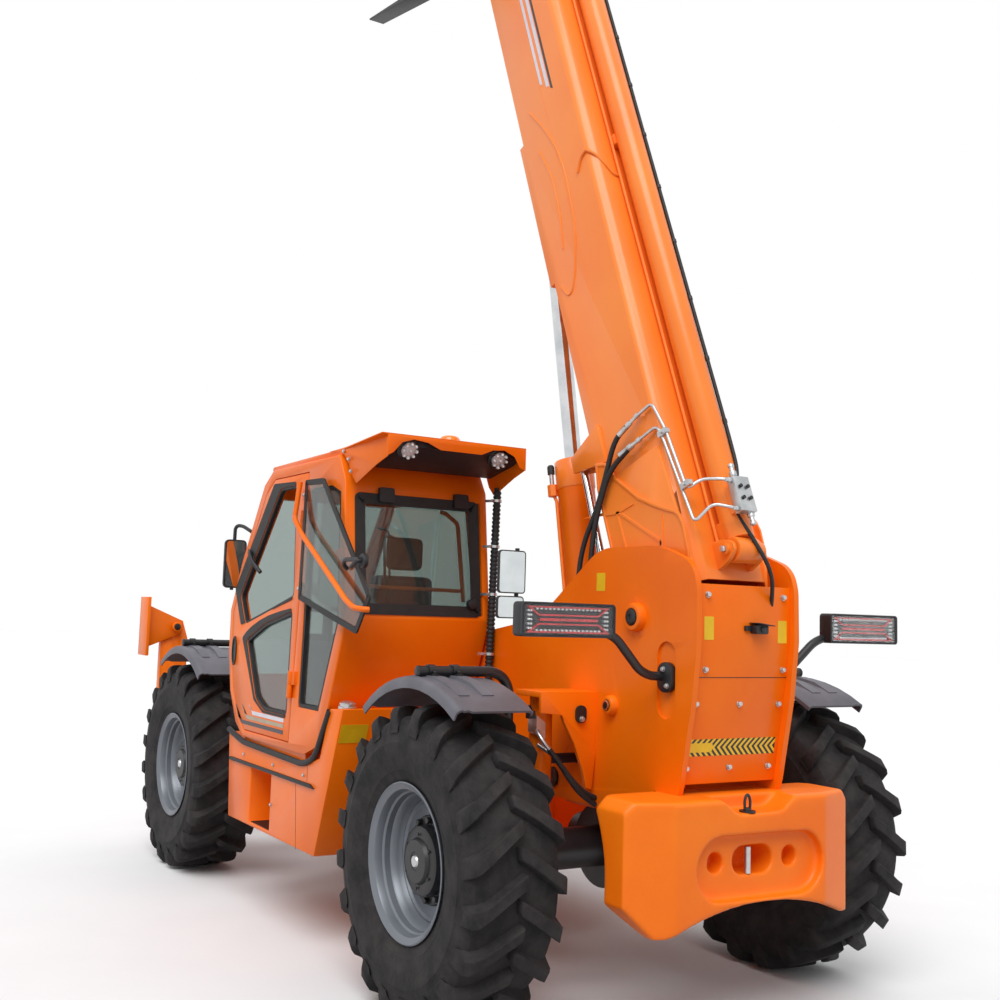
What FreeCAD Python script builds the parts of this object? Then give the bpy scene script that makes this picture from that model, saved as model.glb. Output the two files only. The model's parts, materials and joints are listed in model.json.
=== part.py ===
import FreeCAD, Part
import math
import os
import Sketcher

# A telehandler with an 18 m boom, parked with its boom raised and drawn in.
# X points forward with zero midway between the axles, Y points left, Z up from the ground. Millimetres.

Vector = FreeCAD.Vector
doc = FreeCAD.newDocument("telehandler")
sheet = doc.addObject("Spreadsheet::Sheet", "sizes")

# The driving dimensions, in groups: name, value.
SIZES = {
    # running gear
    "wheelbase": 3300, "track": 1970, "tyre_radius": 655, "tyre_width": 444, "lug_height": 42,
    "lug_width": 62, "lug_count": 20, "rim_radius": 330, "rim_bore": 292, "rim_depth": 380,
    "hub_radius": 128, "kingpin_spacing": 1720, "kingpin_radius": 38, "steer_limit": 30,
    "axle_radius": 92, "axle_bulge": 190, "fork_reach": 118, "ear_reach": 70, "ear_thick": 34,
    "knuckle_height": 250, "knuckle_radius": 78, "spindle_radius": 70,
    # fenders and the tubes that carry them and the tail lamps
    "fender_radius": 758, "fender_width": 345, "fender_thick": 14, "fender_front_angle": 44,
    "fender_back_angle": 33, "fender_inner": 850, "bracket_tube": 46, "lamp_tube": 38, "tube_bend": 70,
    "tube_end": 1136, "tube_drop": 690,
    # frame
    "plate_gap": 526, "plate_thick": 27, "front_gap": 95, "frame_bottom": 520, "floor_thick": 24,
    "pivot_back": 2071, "pivot_height": 1711, "pivot_pin": 55, "pivot_boss": 92, "boss_thick": 22,
    "level_pin_back": 1907, "level_pin_height": 1319, "level_pin": 33, "level_boss": 57,
    "lift_pin_back": 1465, "lift_pin_height": 950, "pin_radius": 45, "pin_play": 0.5, "side_play": 6,
    "tail_reach": 429, "weight_top": 988, "weight_bottom": 462, "weight_half": 620, "weight_flat": 410,
    "weight_taper": 73, "weight_deep": 292, "weight_seat": 300, "arch_rise": 100,
    "arch_half": 400, "recess_depth": 52, "slot_depth": 190, "bolt_hole": 41, "bolt_hole_depth": 130,
    "notch_depth": 63, "notch_long": 120,
    "cover_thick": 12, "wheel_gap": 24,
    # boom: four box sections, each inside the one before
    "boom_angle": 68.5, "boom_half": 200, "boom_low": 150, "boom_high": 350, "boom_wall": 10,
    "boom_length": 4960, "boom_bevel": 36, "section_step": 21, "section_gap": 11, "section_out": 110, "reach_end": 160,
    "lift_along": 2650, "lift_below": 250, "level_along": 900, "level_below": 265, "level_side": 180,
    "barrel_radius": 103, "barrel_length": 1600, "rod_radius": 44, "gland_radius": 120,
    "reach_rise": 75, "head_reach": 179, "head_below": 953, "neck_half": 110, "neck_wall": 16,
    # carriage and forks
    "fork_angle": 11, "fork_length": 1200, "fork_wide": 130, "fork_thick": 52, "fork_place": 345,
    "pin_behind": 158, "pin_above": 244, "carriage_half": 620, "bar_thick": 60,
    # cab
    "cab_inner": 305, "cab_outer": 1130, "cab_wall": 42, "cab_floor": 960, "cab_roof": 2480,
    "glass_thick": 6, "door_gap": 6, "hinge_out": 15, "window_out": 30,
    # boxes at the sides
    "box_outer": 1130, "box_bottom": 480, "box_top": 915, "hood_top": 1390, "hood_front": 760,
    "hood_back": 870, "hood_wall": 16, "tray_top": 640, "hinge_radius": 8, "seat_play": 0.3,
    # stabilisers
    "beam_half": 840, "beam_top": 760, "beam_thick": 100, "leg_pin_out": 966, "leg_pin_height": 640,
    "leg_length": 901, "leg_half": 98, "leg_thick": 62, "foot_long": 420, "foot_wide": 200, "foot_thick": 22,
    # axle locks beside the tower
    "lock_radius": 52, "lock_out": 205, "lock_reach": 304, "lock_drop": 435,
}
for row, (name, value) in enumerate(SIZES.items(), 1):
    sheet.set("A%d" % row, name)
    sheet.set("B%d" % row, str(value))
    sheet.setAlias("B%d" % row, name)
doc.recompute()


class Size:
    """A dimension worked out from cells of the sheet: its value now, and the formula that keeps it."""

    def __init__(self, value, text):
        self.value = value
        self.text = text

    def join(self, other, sign, value):
        return Size(value, "(%s %s %s)" % (self.text, sign, size(other).text))

    def __add__(self, other):
        return self.join(other, "+", self.value + size(other).value)

    def __sub__(self, other):
        return self.join(other, "-", self.value - size(other).value)

    def __mul__(self, other):
        return self.join(other, "*", self.value * size(other).value)

    def __truediv__(self, other):
        return self.join(other, "/", self.value / size(other).value)

    def __radd__(self, other):
        return size(other) + self

    def __rsub__(self, other):
        return size(other) - self

    def __rmul__(self, other):
        return size(other) * self

    def __neg__(self):
        return size(0) - self

    def __float__(self):
        return float(self.value)


def size(thing):
    return thing if isinstance(thing, Size) else Size(float(thing), repr(float(thing)))


class Sheet:
    """Gives each cell of the sheet as a Size: d.wheelbase, d.track."""

    def __getattr__(self, name):
        return Size(float(sheet.get(name)), "sizes." + name)


d = Sheet()


def cosine(angle):
    angle = size(angle)
    return Size(math.cos(math.radians(angle.value)), "cos(%s)" % angle.text)


def sine(angle):
    angle = size(angle)
    return Size(math.sin(math.radians(angle.value)), "sin(%s)" % angle.text)


def bind(thing, prop, amount):
    thing.setExpression(prop, size(amount).text)


def place(thing, x=0, y=0, z=0, axis=None, angle=0):
    turn = FreeCAD.Rotation(Vector(*axis), float(angle) or 1) if axis else FreeCAD.Rotation()
    thing.Placement = FreeCAD.Placement(Vector(float(x), float(y), float(z)), turn)
    for letter, amount in zip("xyz", (x, y, z)):
        bind(thing, "Placement.Base." + letter, amount)
    if axis:
        bind(thing, "Placement.Rotation.Angle", angle)
    return thing


def box(name, x, y, z):
    """A block between three pairs of planes."""
    block = doc.addObject("Part::Box", name)
    for prop, span in zip(("Length", "Width", "Height"), (x, y, z)):
        bind(block, prop, size(span[1]) - span[0])
    return place(block, x[0], y[0], z[0])


def rod(name, along, centre, radius, start, end):
    """A round bar along X, Y or Z, centred on the other two coordinates, from start to end."""
    bar = doc.addObject("Part::Cylinder", name)
    bind(bar, "Radius", radius)
    bind(bar, "Height", size(end) - start)
    if along == "X":
        return place(bar, start, centre[0], centre[1], (0, 1, 0), 90)
    if along == "Y":
        return place(bar, centre[0], start, centre[1], (-1, 0, 0), 90)
    return place(bar, centre[0], centre[1], start)


def join(name, pieces):
    whole = doc.addObject("Part::MultiFuse", name)
    whole.Shapes = pieces
    return whole


def cut(name, base, tools):
    rest = base
    for number, tool in enumerate(tools):
        step = doc.addObject("Part::Cut", name if tool is tools[-1] else "%s_cut%d" % (name, number))
        step.Base = rest
        step.Tool = tool
        rest = step
    return rest


PLANES = {"XY": "XY_Plane", "XZ": "XZ_Plane", "YZ": "YZ_Plane"}


def outline(body, name, plane, points):
    """A closed sketch on one of the body's own planes, each corner held by two bound distances."""
    sketch = body.newObject("Sketcher::SketchObject", name)
    role = PLANES[plane]
    support = [face for face in body.Origin.OriginFeatures if face.Role == role][0]
    sketch.AttachmentSupport = [(support, "")]
    sketch.MapMode = "FlatFace"
    corners = [(size(u), size(v)) for u, v in points]
    places = [Vector(u.value, v.value, 0) for u, v in corners]
    count = len(corners)
    for index in range(count):
        sketch.addGeometry(Part.LineSegment(places[index], places[(index + 1) % count]), False)
    for index in range(count):
        sketch.addConstraint(Sketcher.Constraint("Coincident", index, 2, (index + 1) % count, 1))
    for index, (u, v) in enumerate(corners):
        for kind, amount in (("DistanceX", u), ("DistanceY", v)):
            number = sketch.addConstraint(Sketcher.Constraint(kind, -1, 1, index, 1, amount.value))
            sketch.setExpression("Constraints[%d]" % number, amount.text)
    return sketch


def plate(name, plane, points, low, high):
    """A flat piece of any outline: XZ outlines are padded along Y, YZ along X and XY along Z."""
    body = doc.addObject("PartDesign::Body", name)
    sketch = outline(body, name + "_outline", plane, points)
    pad = body.newObject("PartDesign::Pad", name + "_pad")
    pad.Profile = sketch
    bind(pad, "Length", size(high) - low)
    if plane == "XZ":
        pad.Reversed = True
        place(body, y=low)
    elif plane == "YZ":
        place(body, x=low)
    else:
        place(body, z=low)
    body.Tip = pad
    return body


def boxes(name, rows):
    """Several blocks joined, each row its X, Y and Z spans."""
    return [box("%s_%d" % (name, number), *row) for number, row in enumerate(rows)]


def both_sides(low, high):
    """The span from low to high left of the middle, and its mirror on the right."""
    return ((low, high), (-size(high), -size(low)))


def feature(label, shape, placement=None):
    thing = doc.addObject("Part::Feature", label)
    thing.Shape = shape
    if placement is not None:
        thing.Placement = placement
    return thing


def bent_tube(name, route, radius, bend):
    """A round tube along straight runs, with an arc of one radius at each corner."""
    edges = []
    start = route[0]
    for before, corner, after in zip(route, route[1:], route[2:]):
        back = (before - corner).normalize()
        ahead = (after - corner).normalize()
        half = back.getAngle(ahead) / 2
        entry = corner + back * (bend / math.tan(half))
        leave = corner + ahead * (bend / math.tan(half))
        middle = corner + (back + ahead).normalize() * (bend / math.sin(half) - bend)
        edges.append(Part.LineSegment(start, entry).toShape())
        edges.append(Part.Arc(entry, middle, leave).toShape())
        start = leave
    edges.append(Part.LineSegment(start, route[-1]).toShape())
    circle = Part.Wire(Part.makeCircle(radius, route[0], route[1] - route[0]))
    return feature(name, Part.Wire(edges).makePipeShell([circle], True, False))


NODES = {}


def node(label, thing):
    thing.Label = label
    NODES[label] = thing
    return thing


axles = {"front": d.wheelbase / 2, "rear": -d.wheelbase / 2}
frame_front = axles["front"] + d.tyre_radius + d.front_gap
inner = d.plate_gap / 2
outer = inner + d.plate_thick
tail = d.pivot_back + d.tail_reach
weight_seat = tail - d.weight_seat

# Side plates of the frame. They rise at the back into the tower that carries the boom.
tower = [
    (-weight_seat, 600), (-weight_seat, d.weight_top), (-tail + 148, d.weight_top),
    (-tail + 133, d.weight_top + 46), (-tail + 67, 1382), (-tail + 42, 1625),
    (-tail + 47, 1869), (-tail + 91, 1952), (-d.pivot_back - 146, d.pivot_height + 310),
    (-d.pivot_back + 280, d.pivot_height + 309), (-1429, 1772), (-1099, 1658), (-870, 1622),
    (-560, 1540), (-250, 1240), (axles["front"] - 250, 1130), (frame_front - 300, 1060), (frame_front, 900),
    (frame_front, d.frame_bottom + 20), (axles["front"] + 330, d.frame_bottom + 20),
    (axles["front"] + 240, 860), (axles["front"] - 240, 860), (axles["front"] - 340, d.frame_bottom),
    (axles["rear"] + 340, d.frame_bottom), (axles["rear"] + 240, 860), (axles["rear"] - 240, 860),
    (axles["rear"] - 330, 600),
]
plates = [plate("side_%s" % word, "XZ", tower, low, high)
          for word, (low, high) in zip(("left", "right"), both_sides(inner, outer))]
pivot = (-d.pivot_back, d.pivot_height)
level_pin = (-d.level_pin_back, d.level_pin_height)
lift_pin = (-d.lift_pin_back, d.lift_pin_height)
bosses = []
for word, (low, high) in zip(("left", "right"), both_sides(outer, outer + d.boss_thick)):
    bosses.append(rod("pivot_boss_" + word, "Y", pivot, d.pivot_boss, low, high))
    bosses.append(rod("level_boss_" + word, "Y", level_pin, d.level_boss, low, high))
# Two lips on the right plate, one of them on a post, hold the engine hood's hinge bar.
hinge_height = d.hood_top - d.hinge_radius
hinge_side = outer + 12
lip_out = hinge_side - d.hinge_radius - d.seat_play
lip_height = (hinge_height - d.hinge_radius, hinge_height + d.hinge_radius)
lips = [
    box("hinge_lip_rear", (-760, -640), (-lip_out, -outer), lip_height),
    box("hinge_lip_front", (400, 520), (-lip_out, -outer), lip_height),
    box("hinge_post", (400, 520), (-outer, -inner), (1100, hinge_height + d.hinge_radius)),
]
# Pins across the tower, in columns: name, centre, radius, reach past the plates.
pin_rows = (
    ("pivot", pivot, d.pivot_pin, 30), ("level", level_pin, d.level_pin, 28), ("lift", lift_pin, d.pin_radius, 12),
)
pins = [rod(name + "_pin_bar", "Y", centre, radius, -outer - out, outer + out)
        for name, centre, radius, out in pin_rows]
pin_holes = [rod(name + "_pin_hole", "Y", centre, radius + d.pin_play, -outer - 60, outer + 60)
             for name, centre, radius, out in pin_rows]
node("side_plates", cut("side_plates_body", join("side_plates_whole", plates + bosses + lips), pin_holes))
node("frame_pins", join("frame_pins_set", pins))

# Cross members between the plates: floor, axle cradles, front plate and two ribs.
cradle_low = d.tyre_radius + d.axle_bulge
on_floor = (d.frame_bottom + d.floor_thick, 780)
members = boxes("member", [
    ((axles["rear"] + 340, axles["front"] - 340), (-inner, inner), (d.frame_bottom, d.frame_bottom + d.floor_thick)),
    ((axles["front"] - 190, axles["front"] + 190), (-inner, inner), (cradle_low, cradle_low + 40)),
    ((axles["rear"] - 190, axles["rear"] + 110), (-inner, inner), (cradle_low, cradle_low + 30)),
    ((frame_front - 30, frame_front), (-inner, inner), (d.frame_bottom + 20, 900)),
    ((-700, -676), (-inner, inner), on_floor),
    ((500, 524), (-inner, inner), on_floor),
])
node("cross_members", join("cross_members_whole", members))

# Rear cover: two bent panels between the plates, bolted on.
cover_edge = [(-tail + 160, d.weight_top + 40), (-tail + 104, 1382), (-tail + 70, 1625),
              (-tail + 72, 1858)]
cover_in = [(x + d.cover_thick, z) for x, z in reversed(cover_edge)]
node("rear_cover", plate("rear_cover_panel", "XZ", cover_edge + cover_in, -inner, inner))

# Counterweight: one casting bolted behind the plates, scooped where the steered wheels sweep.
plan = [
    (-tail + d.weight_deep, d.weight_half), (-tail + d.weight_taper, d.weight_half),
    (-tail, d.weight_flat), (-tail, -d.weight_flat), (-tail + d.weight_taper, -d.weight_half),
    (-tail + d.weight_deep, -d.weight_half), (-tail + 510, -outer), (-weight_seat, -outer),
    (-weight_seat, outer), (-tail + 510, outer),
]
weight_block = plate("weight_block", "XY", plan, d.weight_bottom, d.weight_top)
rear_view = [
    (d.arch_half, d.weight_bottom), (d.weight_half, d.weight_bottom + 120),
    (d.weight_half, d.weight_top - 60), (d.weight_half - 60, d.weight_top),
    (-d.weight_half + 60, d.weight_top), (-d.weight_half, d.weight_top - 60),
    (-d.weight_half, d.weight_bottom + 120), (-d.arch_half, d.weight_bottom),
]
weight_front = -tail + 600
weight_view = plate("weight_view", "YZ", rear_view, -tail, weight_front)
side_view = [
    (-tail, d.weight_top), (weight_front, d.weight_top), (weight_front, 900), (-tail + 310, 690),
    (-tail + 100, d.weight_bottom), (-tail, d.weight_bottom),
]
weight_side = plate("weight_side", "XZ", side_view, -d.weight_half, d.weight_half)
weight_form = doc.addObject("Part::MultiCommon", "weight_form")
weight_form.Shapes = [weight_block, weight_view, weight_side]
scoops = []
for word, side in (("left", 1), ("right", -1)):
    for angle in (10, 20, 30):
        sweep = doc.addObject("Part::Cylinder", "sweep_%s_%d" % (word, angle))
        bind(sweep, "Radius", d.tyre_radius + d.wheel_gap)
        bind(sweep, "Height", d.tyre_width + d.wheel_gap * 2)
        offset = (d.track - d.kingpin_spacing - d.tyre_width) / 2 - d.wheel_gap
        steered = d.steer_limit * (angle / 30.0)
        start = d.kingpin_spacing / 2 + offset * cosine(steered)
        place(sweep, axles["rear"] - offset * sine(steered), start * side, d.tyre_radius, (0, 0, 1), steered)
        lie = FreeCAD.Rotation(Vector(0, 0, 1), side * angle) * FreeCAD.Rotation(Vector(1, 0, 0), -90 * side)
        sweep.setExpression("Placement.Rotation.Angle", None)
        sweep.Placement.Rotation = lie
        scoops.append(sweep)


def oval(name, across, heights, low, high):
    """A bar along X with round ends, as wide and as high as the two spans."""
    half = (size(heights[1]) - heights[0]) / 2
    middle = heights[0] + half
    ends = (across[0] + half, across[1] - half)
    rounds = [rod("%s_end_%d" % (name, number), "X", (y, middle), half, low, high) for number, y in enumerate(ends)]
    return join(name, [box(name + "_middle", (low, high), ends, heights)] + rounds)


# Its rear face has a hollow arch below, an oval recess with a slot and two bolt holes, and a notch on top.
outside = -tail - 10
arch_radius = (d.arch_half * d.arch_half + d.arch_rise * d.arch_rise) / (d.arch_rise * 2)
arch = rod("weight_arch", "X", (0, d.weight_bottom + d.arch_rise - arch_radius), arch_radius, outside, weight_front)
recess_low = d.weight_bottom + 118
recess = oval("weight_recess", (-400, 302), (recess_low, recess_low + 260), outside, -tail + d.recess_depth)
slot = oval("weight_slot", (-107, 115), (recess_low + 91, recess_low + 206), outside, -tail + d.slot_depth)
bolt_holes = [rod("weight_bolt_hole_%d" % number, "X", (y, recess_low + 149), d.bolt_hole, outside,
                  -tail + d.bolt_hole_depth) for number, y in enumerate((212, -204))]
notch_view = [(-255, d.weight_top + 5), (-115, d.weight_top - d.notch_depth), (180, d.weight_top - d.notch_depth),
              (301, d.weight_top + 5)]
notch = plate("weight_notch", "YZ", notch_view, outside, -tail + d.notch_long)
node("counterweight", cut("counterweight_body", weight_form, scoops + [arch, recess, slot, notch] + bolt_holes))

# Axles: a housing with the crown wheel's bulge, two tubes, and a fork at each end for the kingpins.
half_pin = d.kingpin_spacing / 2
ear_low = d.knuckle_height / 2 + d.side_play
for word, sign in (("front", 1), ("rear", -1)):
    x = axles[word]
    centre = (x, d.tyre_radius)
    pieces = [
        rod(word + "_bulge", "Y", centre, d.axle_bulge, -150, 150),
        rod(word + "_tube", "Y", centre, d.axle_radius, -half_pin + d.fork_reach, half_pin - d.fork_reach),
        rod(word + "_nose", "X", (0, d.tyre_radius), 95, x - 330 if sign > 0 else x, x if sign > 0 else x + 330),
    ]
    for side_word, side in (("left", 1), ("right", -1)):
        near = half_pin - d.fork_reach
        web = ((near, near + d.ear_thick), (-(near + d.ear_thick), -near))[0 if side > 0 else 1]
        far = half_pin + d.ear_reach
        ear_y = ((near, far), (-far, -near))[0 if side > 0 else 1]
        half_web = ear_low + d.ear_thick
        pieces.append(box("%s_web_%s" % (word, side_word), (x - 90, x + 90), web,
                          (d.tyre_radius - half_web, d.tyre_radius + half_web)))
        for ear_word, z in (("top", (d.tyre_radius + ear_low, d.tyre_radius + ear_low + d.ear_thick)),
                            ("low", (d.tyre_radius - ear_low - d.ear_thick, d.tyre_radius - ear_low))):
            pieces.append(box("%s_ear_%s_%s" % (word, side_word, ear_word), (x - 78, x + 78), ear_y, z))
    holes = [rod("%s_kingpin_hole_%d" % (word, side), "Z", (x, side * half_pin), d.kingpin_radius + d.pin_play,
                 d.tyre_radius - half_web - 5, d.tyre_radius + half_web + 5) for side in (1, -1)]
    node(word + "_axle", cut(word + "_axle_body", join(word + "_axle_whole", pieces), holes))

# Knuckles, wheels and tyres. One of each is made at the origin and set at the four corners.
flange_in = size(108)
flange_out = size(150)
kingpin_end = ear_low + d.ear_thick
knuckle_parts = [
    rod("knuckle_barrel", "Z", (0, 0), d.knuckle_radius, -d.knuckle_height / 2, d.knuckle_height / 2),
    rod("kingpin", "Z", (0, 0), d.kingpin_radius, -kingpin_end, kingpin_end),
    rod("knuckle_neck", "Y", (0, 0), d.knuckle_radius - 4, 0, flange_in),
    rod("knuckle_case", "Y", (0, 0), 150, flange_in, flange_out),
    rod("spindle", "Y", (0, 0), d.spindle_radius, flange_out, flange_out + 20),
]
knuckle_shape = join("knuckle_pattern", knuckle_parts)
wheel_out = (d.track - d.kingpin_spacing) / 2
hub_start = flange_out + d.side_play - wheel_out


def turned(name, points):
    """A body turned round the Y axis from its half section: along the axis, radius."""
    body = doc.addObject("PartDesign::Body", name)
    section = outline(body, name + "_section", "YZ", points)
    turn = body.newObject("PartDesign::Revolution", name + "_turn")
    turn.Profile = section
    turn.ReferenceAxis = (section, ["H_Axis"])
    turn.Angle = 360
    body.Tip = turn
    return body


# The rim has a flange at each edge, and outside its disc the well comes in by two steps.
half_rim = d.rim_depth / 2
seat = d.rim_radius - 18
rim_ring = turned("rim_ring", [
    (-half_rim, d.rim_radius), (-half_rim + 14, d.rim_radius), (-half_rim + 14, seat), (half_rim - 14, seat),
    (half_rim - 14, d.rim_radius), (half_rim, d.rim_radius), (half_rim, d.rim_radius - 10),
    (half_rim - 24, d.rim_bore + 8), (136, d.rim_bore), (128, d.rim_bore - 10), (100, d.rim_bore - 12),
    (92, d.rim_bore - 22), (58, d.rim_bore - 26), (40, d.rim_bore - 26), (40, d.rim_bore), (-half_rim, d.rim_bore),
])
disc = rod("rim_disc", "Y", (0, 0), d.rim_bore + 4, 40, 58)
hub = rod("hub_case", "Y", (0, 0), d.hub_radius + 30, hub_start, 40)
hub_cap = rod("hub_cap", "Y", (0, 0), d.hub_radius, 58, 150)
spindle_hole = rod("spindle_hole", "Y", (0, 0), d.spindle_radius + d.pin_play, hub_start - 1, hub_start + 19)
wheel_shape = cut("wheel_pattern", join("wheel_whole", [rim_ring, disc, hub, hub_cap]), [spindle_hole])

# Tyre: carcass turned from its half section, lugs as padded chevron halves patterned round it.
crown = d.tyre_radius - d.lug_height
half_tyre = d.tyre_width / 2
bead = d.rim_depth / 2 - 14 - d.seat_play
bead_low = d.rim_radius - 18 + d.seat_play
bead_high = d.rim_radius + d.seat_play
tyre_body = turned("tyre_pattern", [
    (-bead, bead_low), (bead, bead_low), (bead, bead_high), (half_tyre - 34, bead_high),
    (half_tyre - 6, d.rim_radius + 120), (half_tyre - 8, crown - 60), (half_tyre - 40, crown - 8),
    (half_tyre * 0.45, crown), (-half_tyre * 0.45, crown), (-half_tyre + 40, crown - 8),
    (-half_tyre + 8, crown - 60), (-half_tyre + 6, d.rim_radius + 120), (-half_tyre + 34, bead_high),
    (-bead, bead_high),
])
doc.recompute()

# Lug outline in the flat: across the tread, and back along it. The lugs of both sides point forwards on top.
lug_points = [
    (-8, -40), (110, -8), (half_tyre, 62), (half_tyre, 62 + d.lug_width * 1.25),
    (104, -4 + d.lug_width * 1.1), (-8, -40 + d.lug_width),
]
lug_body = doc.addObject("PartDesign::Body", "lug_pattern")
lug_sketch = outline(lug_body, "lug_outline", "XY", [(-back, across) for across, back in lug_points])
lug_pad = lug_body.newObject("PartDesign::Pad", "lug_pad")
lug_pad.Profile = lug_sketch
bind(lug_pad, "Length", d.lug_height + 60)
lug_body.Tip = lug_pad
place(lug_body, z=crown - 45)
doc.recompute()
ring = doc.addObject("Part::Cylinder", "tread_limit")
bind(ring, "Radius", d.tyre_radius)
bind(ring, "Height", d.tyre_width)
place(ring, 0, -half_tyre, 0, (-1, 0, 0), 90)
doc.recompute()
left_lug = lug_body.Shape
right_lug = left_lug.mirror(Vector(0, 0, 0), Vector(0, 1, 0))
pitch = 360.0 / d.lug_count.value
lugs = []
for number in range(int(d.lug_count.value)):
    for lug, phase in ((left_lug, 0), (right_lug, 0.5)):
        turned_lug = lug.copy()
        turned_lug.rotate(Vector(0, 0, 0), Vector(0, 1, 0), (number + phase) * pitch)
        lugs.append(turned_lug)
tread = lugs[0].multiFuse(lugs[1:]).common(ring.Shape)
tyre_shape = tyre_body.Shape.fuse(tread)

corners = {}
for end in ("front", "rear"):
    for word, side in (("left", 1), ("right", -1)):
        corners[end + "_" + word] = (axles[end].value, side)
for word, (x, side) in corners.items():
    turn = FreeCAD.Rotation(Vector(0, 0, 1), 0 if side > 0 else 180)
    pin_place = FreeCAD.Placement(Vector(x, side * half_pin.value, d.tyre_radius.value), turn)
    wheel_place = FreeCAD.Placement(Vector(x, side * d.track.value / 2, d.tyre_radius.value), turn)
    straight = FreeCAD.Placement(wheel_place.Base, FreeCAD.Rotation())
    doc.recompute()
    node("knuckle_" + word, feature("knuckle_" + word, knuckle_shape.Shape, pin_place))
    node("wheel_" + word, feature("wheel_" + word, wheel_shape.Shape, wheel_place))
    node("tyre_" + word, feature("tyre_" + word, tyre_shape, straight))

# Fenders: a curved guard over each tyre, on a bent tube from the frame.
def guard(name, end, side):
    """Part of a ring over the wheel, from in front of its top to behind it."""
    front, back = d.fender_front_angle, d.fender_back_angle
    if end == "front":
        front, back = back, front
    low = d.fender_inner if side > 0 else -(d.fender_inner + d.fender_width)
    rings = []
    for layer, radius in (("skin", d.fender_radius + d.fender_thick), ("hollow", d.fender_radius)):
        sector = doc.addObject("Part::Cylinder", "%s_%s" % (name, layer))
        bind(sector, "Radius", radius)
        bind(sector, "Height", d.fender_width)
        bind(sector, "Angle", front + back)
        place(sector, axles[end], low, d.tyre_radius)
        upright = FreeCAD.Rotation(Vector(-1, 0, 0), 90)
        sector.Placement.Rotation = FreeCAD.Rotation(Vector(0, 1, 0), -(90 + back.value)) * upright
        rings.append(sector)
    return cut(name, rings[0], [rings[1]])


guards = [guard("guard_%s_%d" % (end, side), end, side) for end in ("front", "rear") for side in (1, -1)]
node("fenders", join("fenders_set", guards))

# Bracket tubes: one across the crest of each fender, bent down beside the tyre and in to the side plate.
tube = d.bracket_tube / 2
crest = d.tyre_radius + d.fender_radius + d.fender_thick + tube + d.seat_play
bracket_tubes = []
for end, inlet in (("front", 1060), ("rear", 1400)):
    for word, side in (("left", 1), ("right", -1)):
        x = float(axles[end])
        route = [Vector(x, side * float(y), float(z)) for y, z in (
            (d.tube_end, crest), (d.tube_drop + 20, crest), (d.tube_drop - 30, inlet), (outer, inlet))]
        bend = d.tube_bend.value if end == "front" else 120
        bracket_tubes.append(bent_tube("fender_tube_%s_%s" % (end, word), route, float(tube), bend))

# Cab: a hollow shell of sheet and tube, its outline seen from the side, with its windows cut out.
# Its outlines are drawn for a floor at 960 and a roof at 2480, and follow both.
def rise(drawn):
    """A height of the drawn cab, as it comes out between the real floor and roof."""
    return d.cab_floor + (drawn - 960) * ((d.cab_roof - d.cab_floor) / 1520)


def drawn_in_cab(points):
    return [(x, rise(z)) for x, z in points]


cab_outline = drawn_in_cab([
    (163, 2480), (300, 2400), (600, 1978), (768, 1680), (766, 1438), (710, 1203), (592, 1030),
    (470, 960), (-440, 960), (-601, 1015), (-700, 1181), (-878, 1661), (-800, 2350), (-720, 2480),
])


def inset(points, amount):
    """The outline moved inwards by an amount, each side parallel to what it was."""
    corners = [(float(x), float(z)) for x, z in points]
    following = corners[1:] + corners[:1]
    clockwise = sum((b[0] - a[0]) * (b[1] + a[1]) for a, b in zip(corners, following)) > 0
    move = float(amount) if clockwise else -float(amount)
    lines = []
    for (x0, z0), (x1, z1) in zip(corners, following):
        long = math.hypot(x1 - x0, z1 - z0)
        across, up = (z1 - z0) / long, -(x1 - x0) / long
        lines.append((across, up, across * x0 + up * z0 + move))
    result = []
    for (a, b, e), (c, f, g) in zip(lines[-1:] + lines[:-1], lines):
        spread = a * f - b * c
        result.append(((e * f - b * g) / spread, (a * g - e * c) / spread))
    return result


def prism(points, low, high):
    """A solid of an outline in X and Z, between two planes across Y."""
    corners = [Vector(float(x), float(low), float(z)) for x, z in points]
    face = Part.Face(Part.makePolygon(corners + corners[:1]))
    return face.extrude(Vector(0, float(high) - float(low), 0))


cab_outer = prism(cab_outline, d.cab_inner, d.cab_outer)
wall = d.cab_wall
cab_hollow = prism(inset(cab_outline, wall), d.cab_inner + wall, d.cab_outer - wall)
shell = cab_outer.cut(cab_hollow)

# Door seam: a slanted line at the back of the door. The hinge lies along it, just outside the wall.
seam_top = (-345, float(rise(2420)))
seam_low = (-225, float(rise(1000)))
door_outline = [seam_low, seam_top] + drawn_in_cab([
    (130, 2420), (262, 2345), (545, 1955), (712, 1668), (710, 1446), (660, 1228), (560, 1075), (440, 1000)])
wall_out = d.cab_outer + 1
wall_in = d.cab_outer - wall - 1
door_hole = prism(inset(door_outline, -d.door_gap), wall_in, wall_out)
windows_left = [drawn_in_cab(points) for points in (
    [(-214, 1760), (-184, 2370), (48, 2366), (610, 1769), (505, 1600), (133, 1681)],
    [(-207, 1690), (188, 1615), (470, 1515), (291, 1187), (154, 1130), (-185, 1130)],
)]
quarter_window = drawn_in_cab([(-392, 2330), (-657, 2330), (-765, 2290), (-805, 1661), (-600, 1190), (-335, 1190)])
side_window = drawn_in_cab([(-640, 2330), (-780, 1700), (-500, 1560), (520, 1500), (660, 1640), (250, 2330)])
rear_glass = prism(drawn_in_cab([(-960, 1690), (-760, 1690), (-760, 2285), (-960, 2285)]), 345, 1045)
front_view = drawn_in_cab([(400, 1300), (900, 1300), (900, 2330), (235, 2330), (400, 1900)])
front_tool = prism(front_view, 355, 1080)
left_holes = [prism(points, wall_in, wall_out) for points in windows_left]
quarter_hole = prism(quarter_window, wall_in, wall_out)
right_hole = prism(side_window, d.cab_inner - 1, d.cab_inner + wall + 1)
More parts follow.
